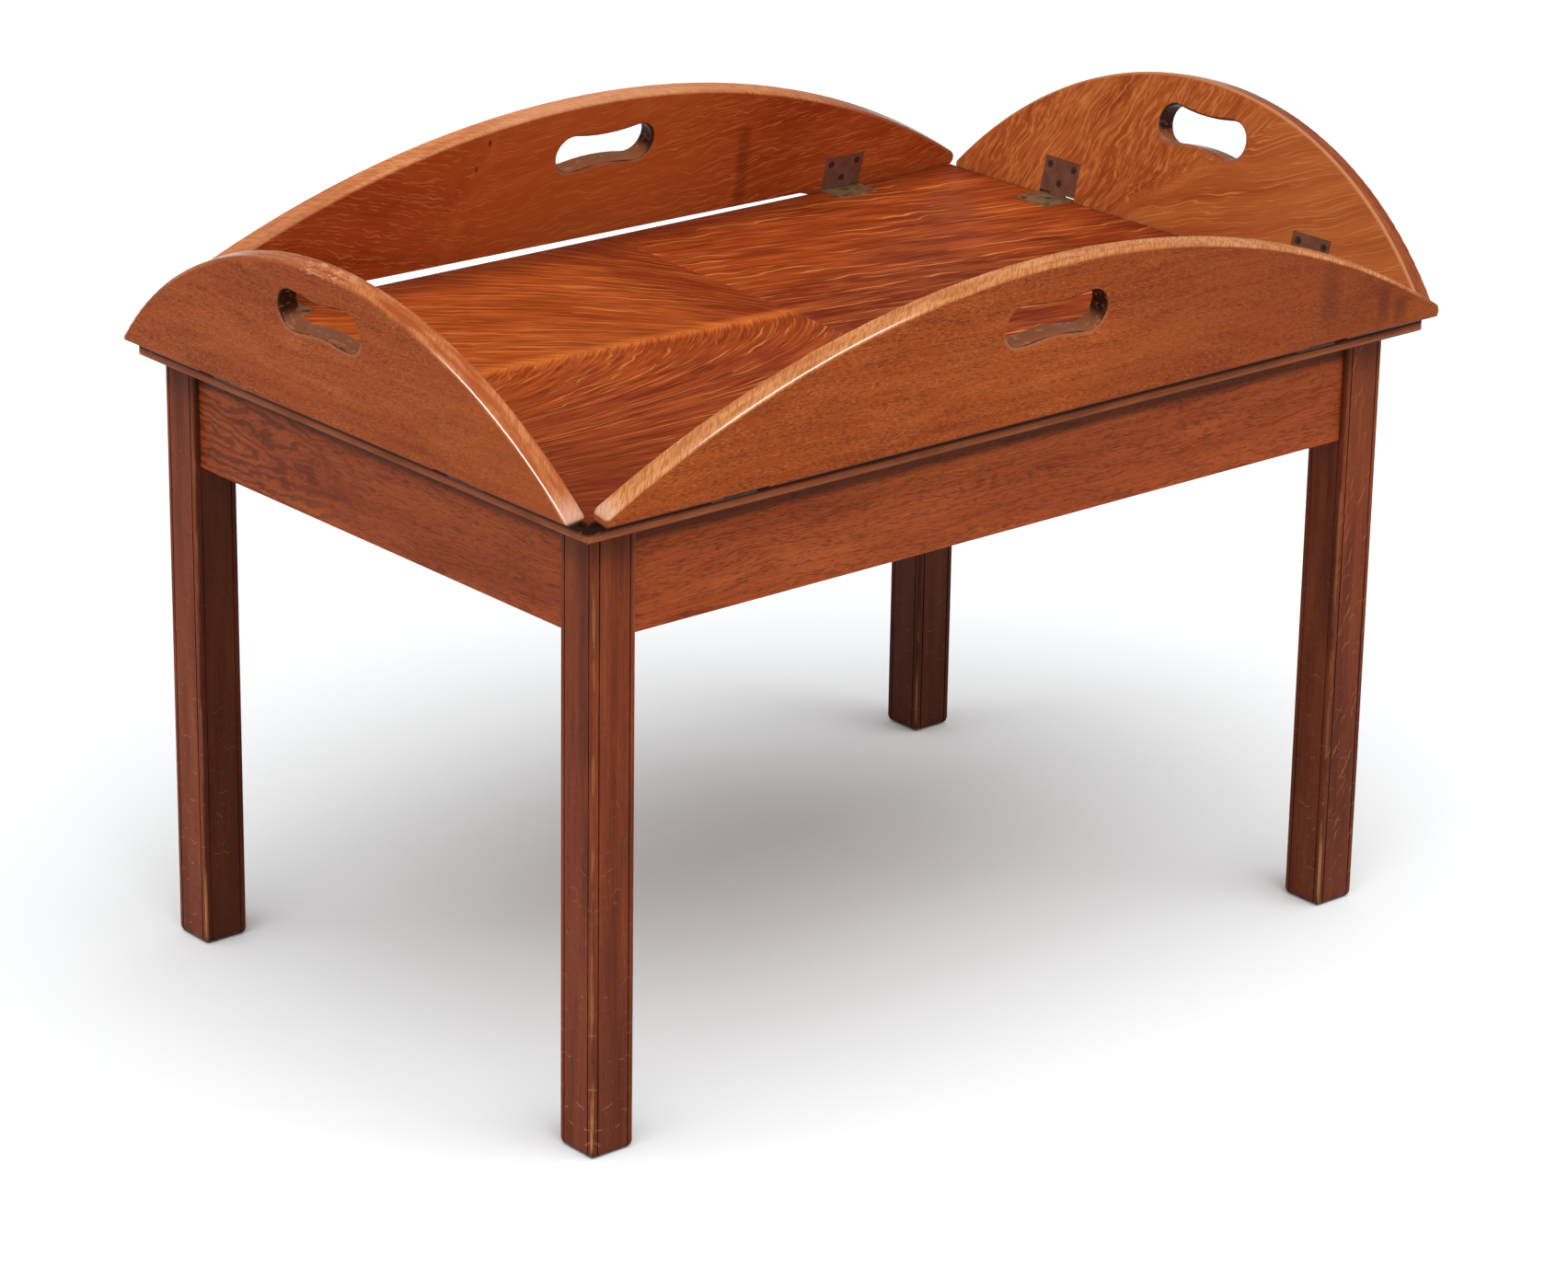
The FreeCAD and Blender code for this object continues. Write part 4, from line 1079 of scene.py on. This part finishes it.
CAMERA_PLACE = Vector((-2.28408, -2.67931, 1.52503))
CAMERA_YAW = math.radians(40.5334)
CAMERA_PITCH = math.radians(20.3998)
CAMERA_ROLL = math.radians(0.9500)
CAMERA_FOCUS_PIXELS = 5655.13
IMAGE_WIDTH_PIXELS = 1704.0
SENSOR_WIDTH = 36.0

FLOOR_SIZE = 60.0
FLOOR_SEEN = (0.96, 0.985, 1.0, 1.0)
FLOOR_BOUNCE = 0.85
FLOOR_ROUGHNESS = 0.9
SKY_COLOR = (1.0, 1.0, 1.0, 1.0)
SKY_LIGHT = 0.32
# Suns: which way their light travels, strength, and how wide they are in degrees
SUNS = {
    "overhead": ((0.12, 0.34, -1.0), 2.42, 76.0),
    "front_left": ((0.6, 0.7, -0.3), 1.05, 150.0),
}


def make_camera():
    data = bpy.data.cameras.new("camera")
    data.sensor_width = SENSOR_WIDTH
    data.sensor_fit = "HORIZONTAL"
    data.lens = CAMERA_FOCUS_PIXELS * SENSOR_WIDTH / IMAGE_WIDTH_PIXELS
    camera = bpy.data.objects.new("camera", data)
    ahead = Vector((
        math.sin(CAMERA_YAW) * math.cos(CAMERA_PITCH),
        math.cos(CAMERA_YAW) * math.cos(CAMERA_PITCH),
        -math.sin(CAMERA_PITCH),
    ))
    level = Vector((math.cos(CAMERA_YAW), -math.sin(CAMERA_YAW), 0.0))
    up = level.cross(ahead)
    c, s = math.cos(CAMERA_ROLL), math.sin(CAMERA_ROLL)
    right, top = c * level + s * up, c * up - s * level
    turn = Matrix((right, top, -ahead)).transposed().to_4x4()
    camera.matrix_world = Matrix.Translation(CAMERA_PLACE) @ turn
    bpy.context.scene.collection.objects.link(camera)
    bpy.context.scene.camera = camera


def make_floor():
    mesh = bpy.data.meshes.new("floor")
    half = FLOOR_SIZE / 2
    corners = [(-half, -half, 0), (half, -half, 0), (half, half, 0), (-half, half, 0)]
    mesh.from_pydata(corners, [], [(0, 1, 2, 3)])
    floor = bpy.data.objects.new("floor", mesh)
    bpy.context.scene.collection.objects.link(floor)
    mesh.materials.append(floor_material())


def floor_material():
    """Paper that the camera, gloss and glass see white, and that throws less light back up."""
    shader = Shader("floor_paper")
    path = shader.add("ShaderNodeLightPath")
    seen = Field(shader, path.outputs["Is Camera Ray"])
    for kind in ("Is Glossy Ray", "Is Transmission Ray"):
        seen = seen.larger(Field(shader, path.outputs[kind]))
    bounce = (FLOOR_BOUNCE, FLOOR_BOUNCE, FLOOR_BOUNCE, 1.0)
    return shader.finish(shader.mix(seen, bounce, FLOOR_SEEN), FLOOR_ROUGHNESS, specular=0.0)


def make_sun(name, travel, strength, angle):
    data = bpy.data.lights.new(name, "SUN")
    data.energy = strength
    data.angle = math.radians(angle)
    sun = bpy.data.objects.new(name, data)
    sun.matrix_world = Vector(travel).to_track_quat("-Z", "Y").to_matrix().to_4x4()
    bpy.context.scene.collection.objects.link(sun)


def make_world():
    world = bpy.data.worlds.new("studio")
    world.use_nodes = True
    background = world.node_tree.nodes["Background"]
    background.inputs["Color"].default_value = SKY_COLOR
    background.inputs["Strength"].default_value = SKY_LIGHT
    bpy.context.scene.world = world


dress()
make_camera()
make_floor()
make_world()
for sun_name, sun_values in SUNS.items():
    make_sun(sun_name, *sun_values)
bpy.context.scene.view_settings.view_transform = "Standard"
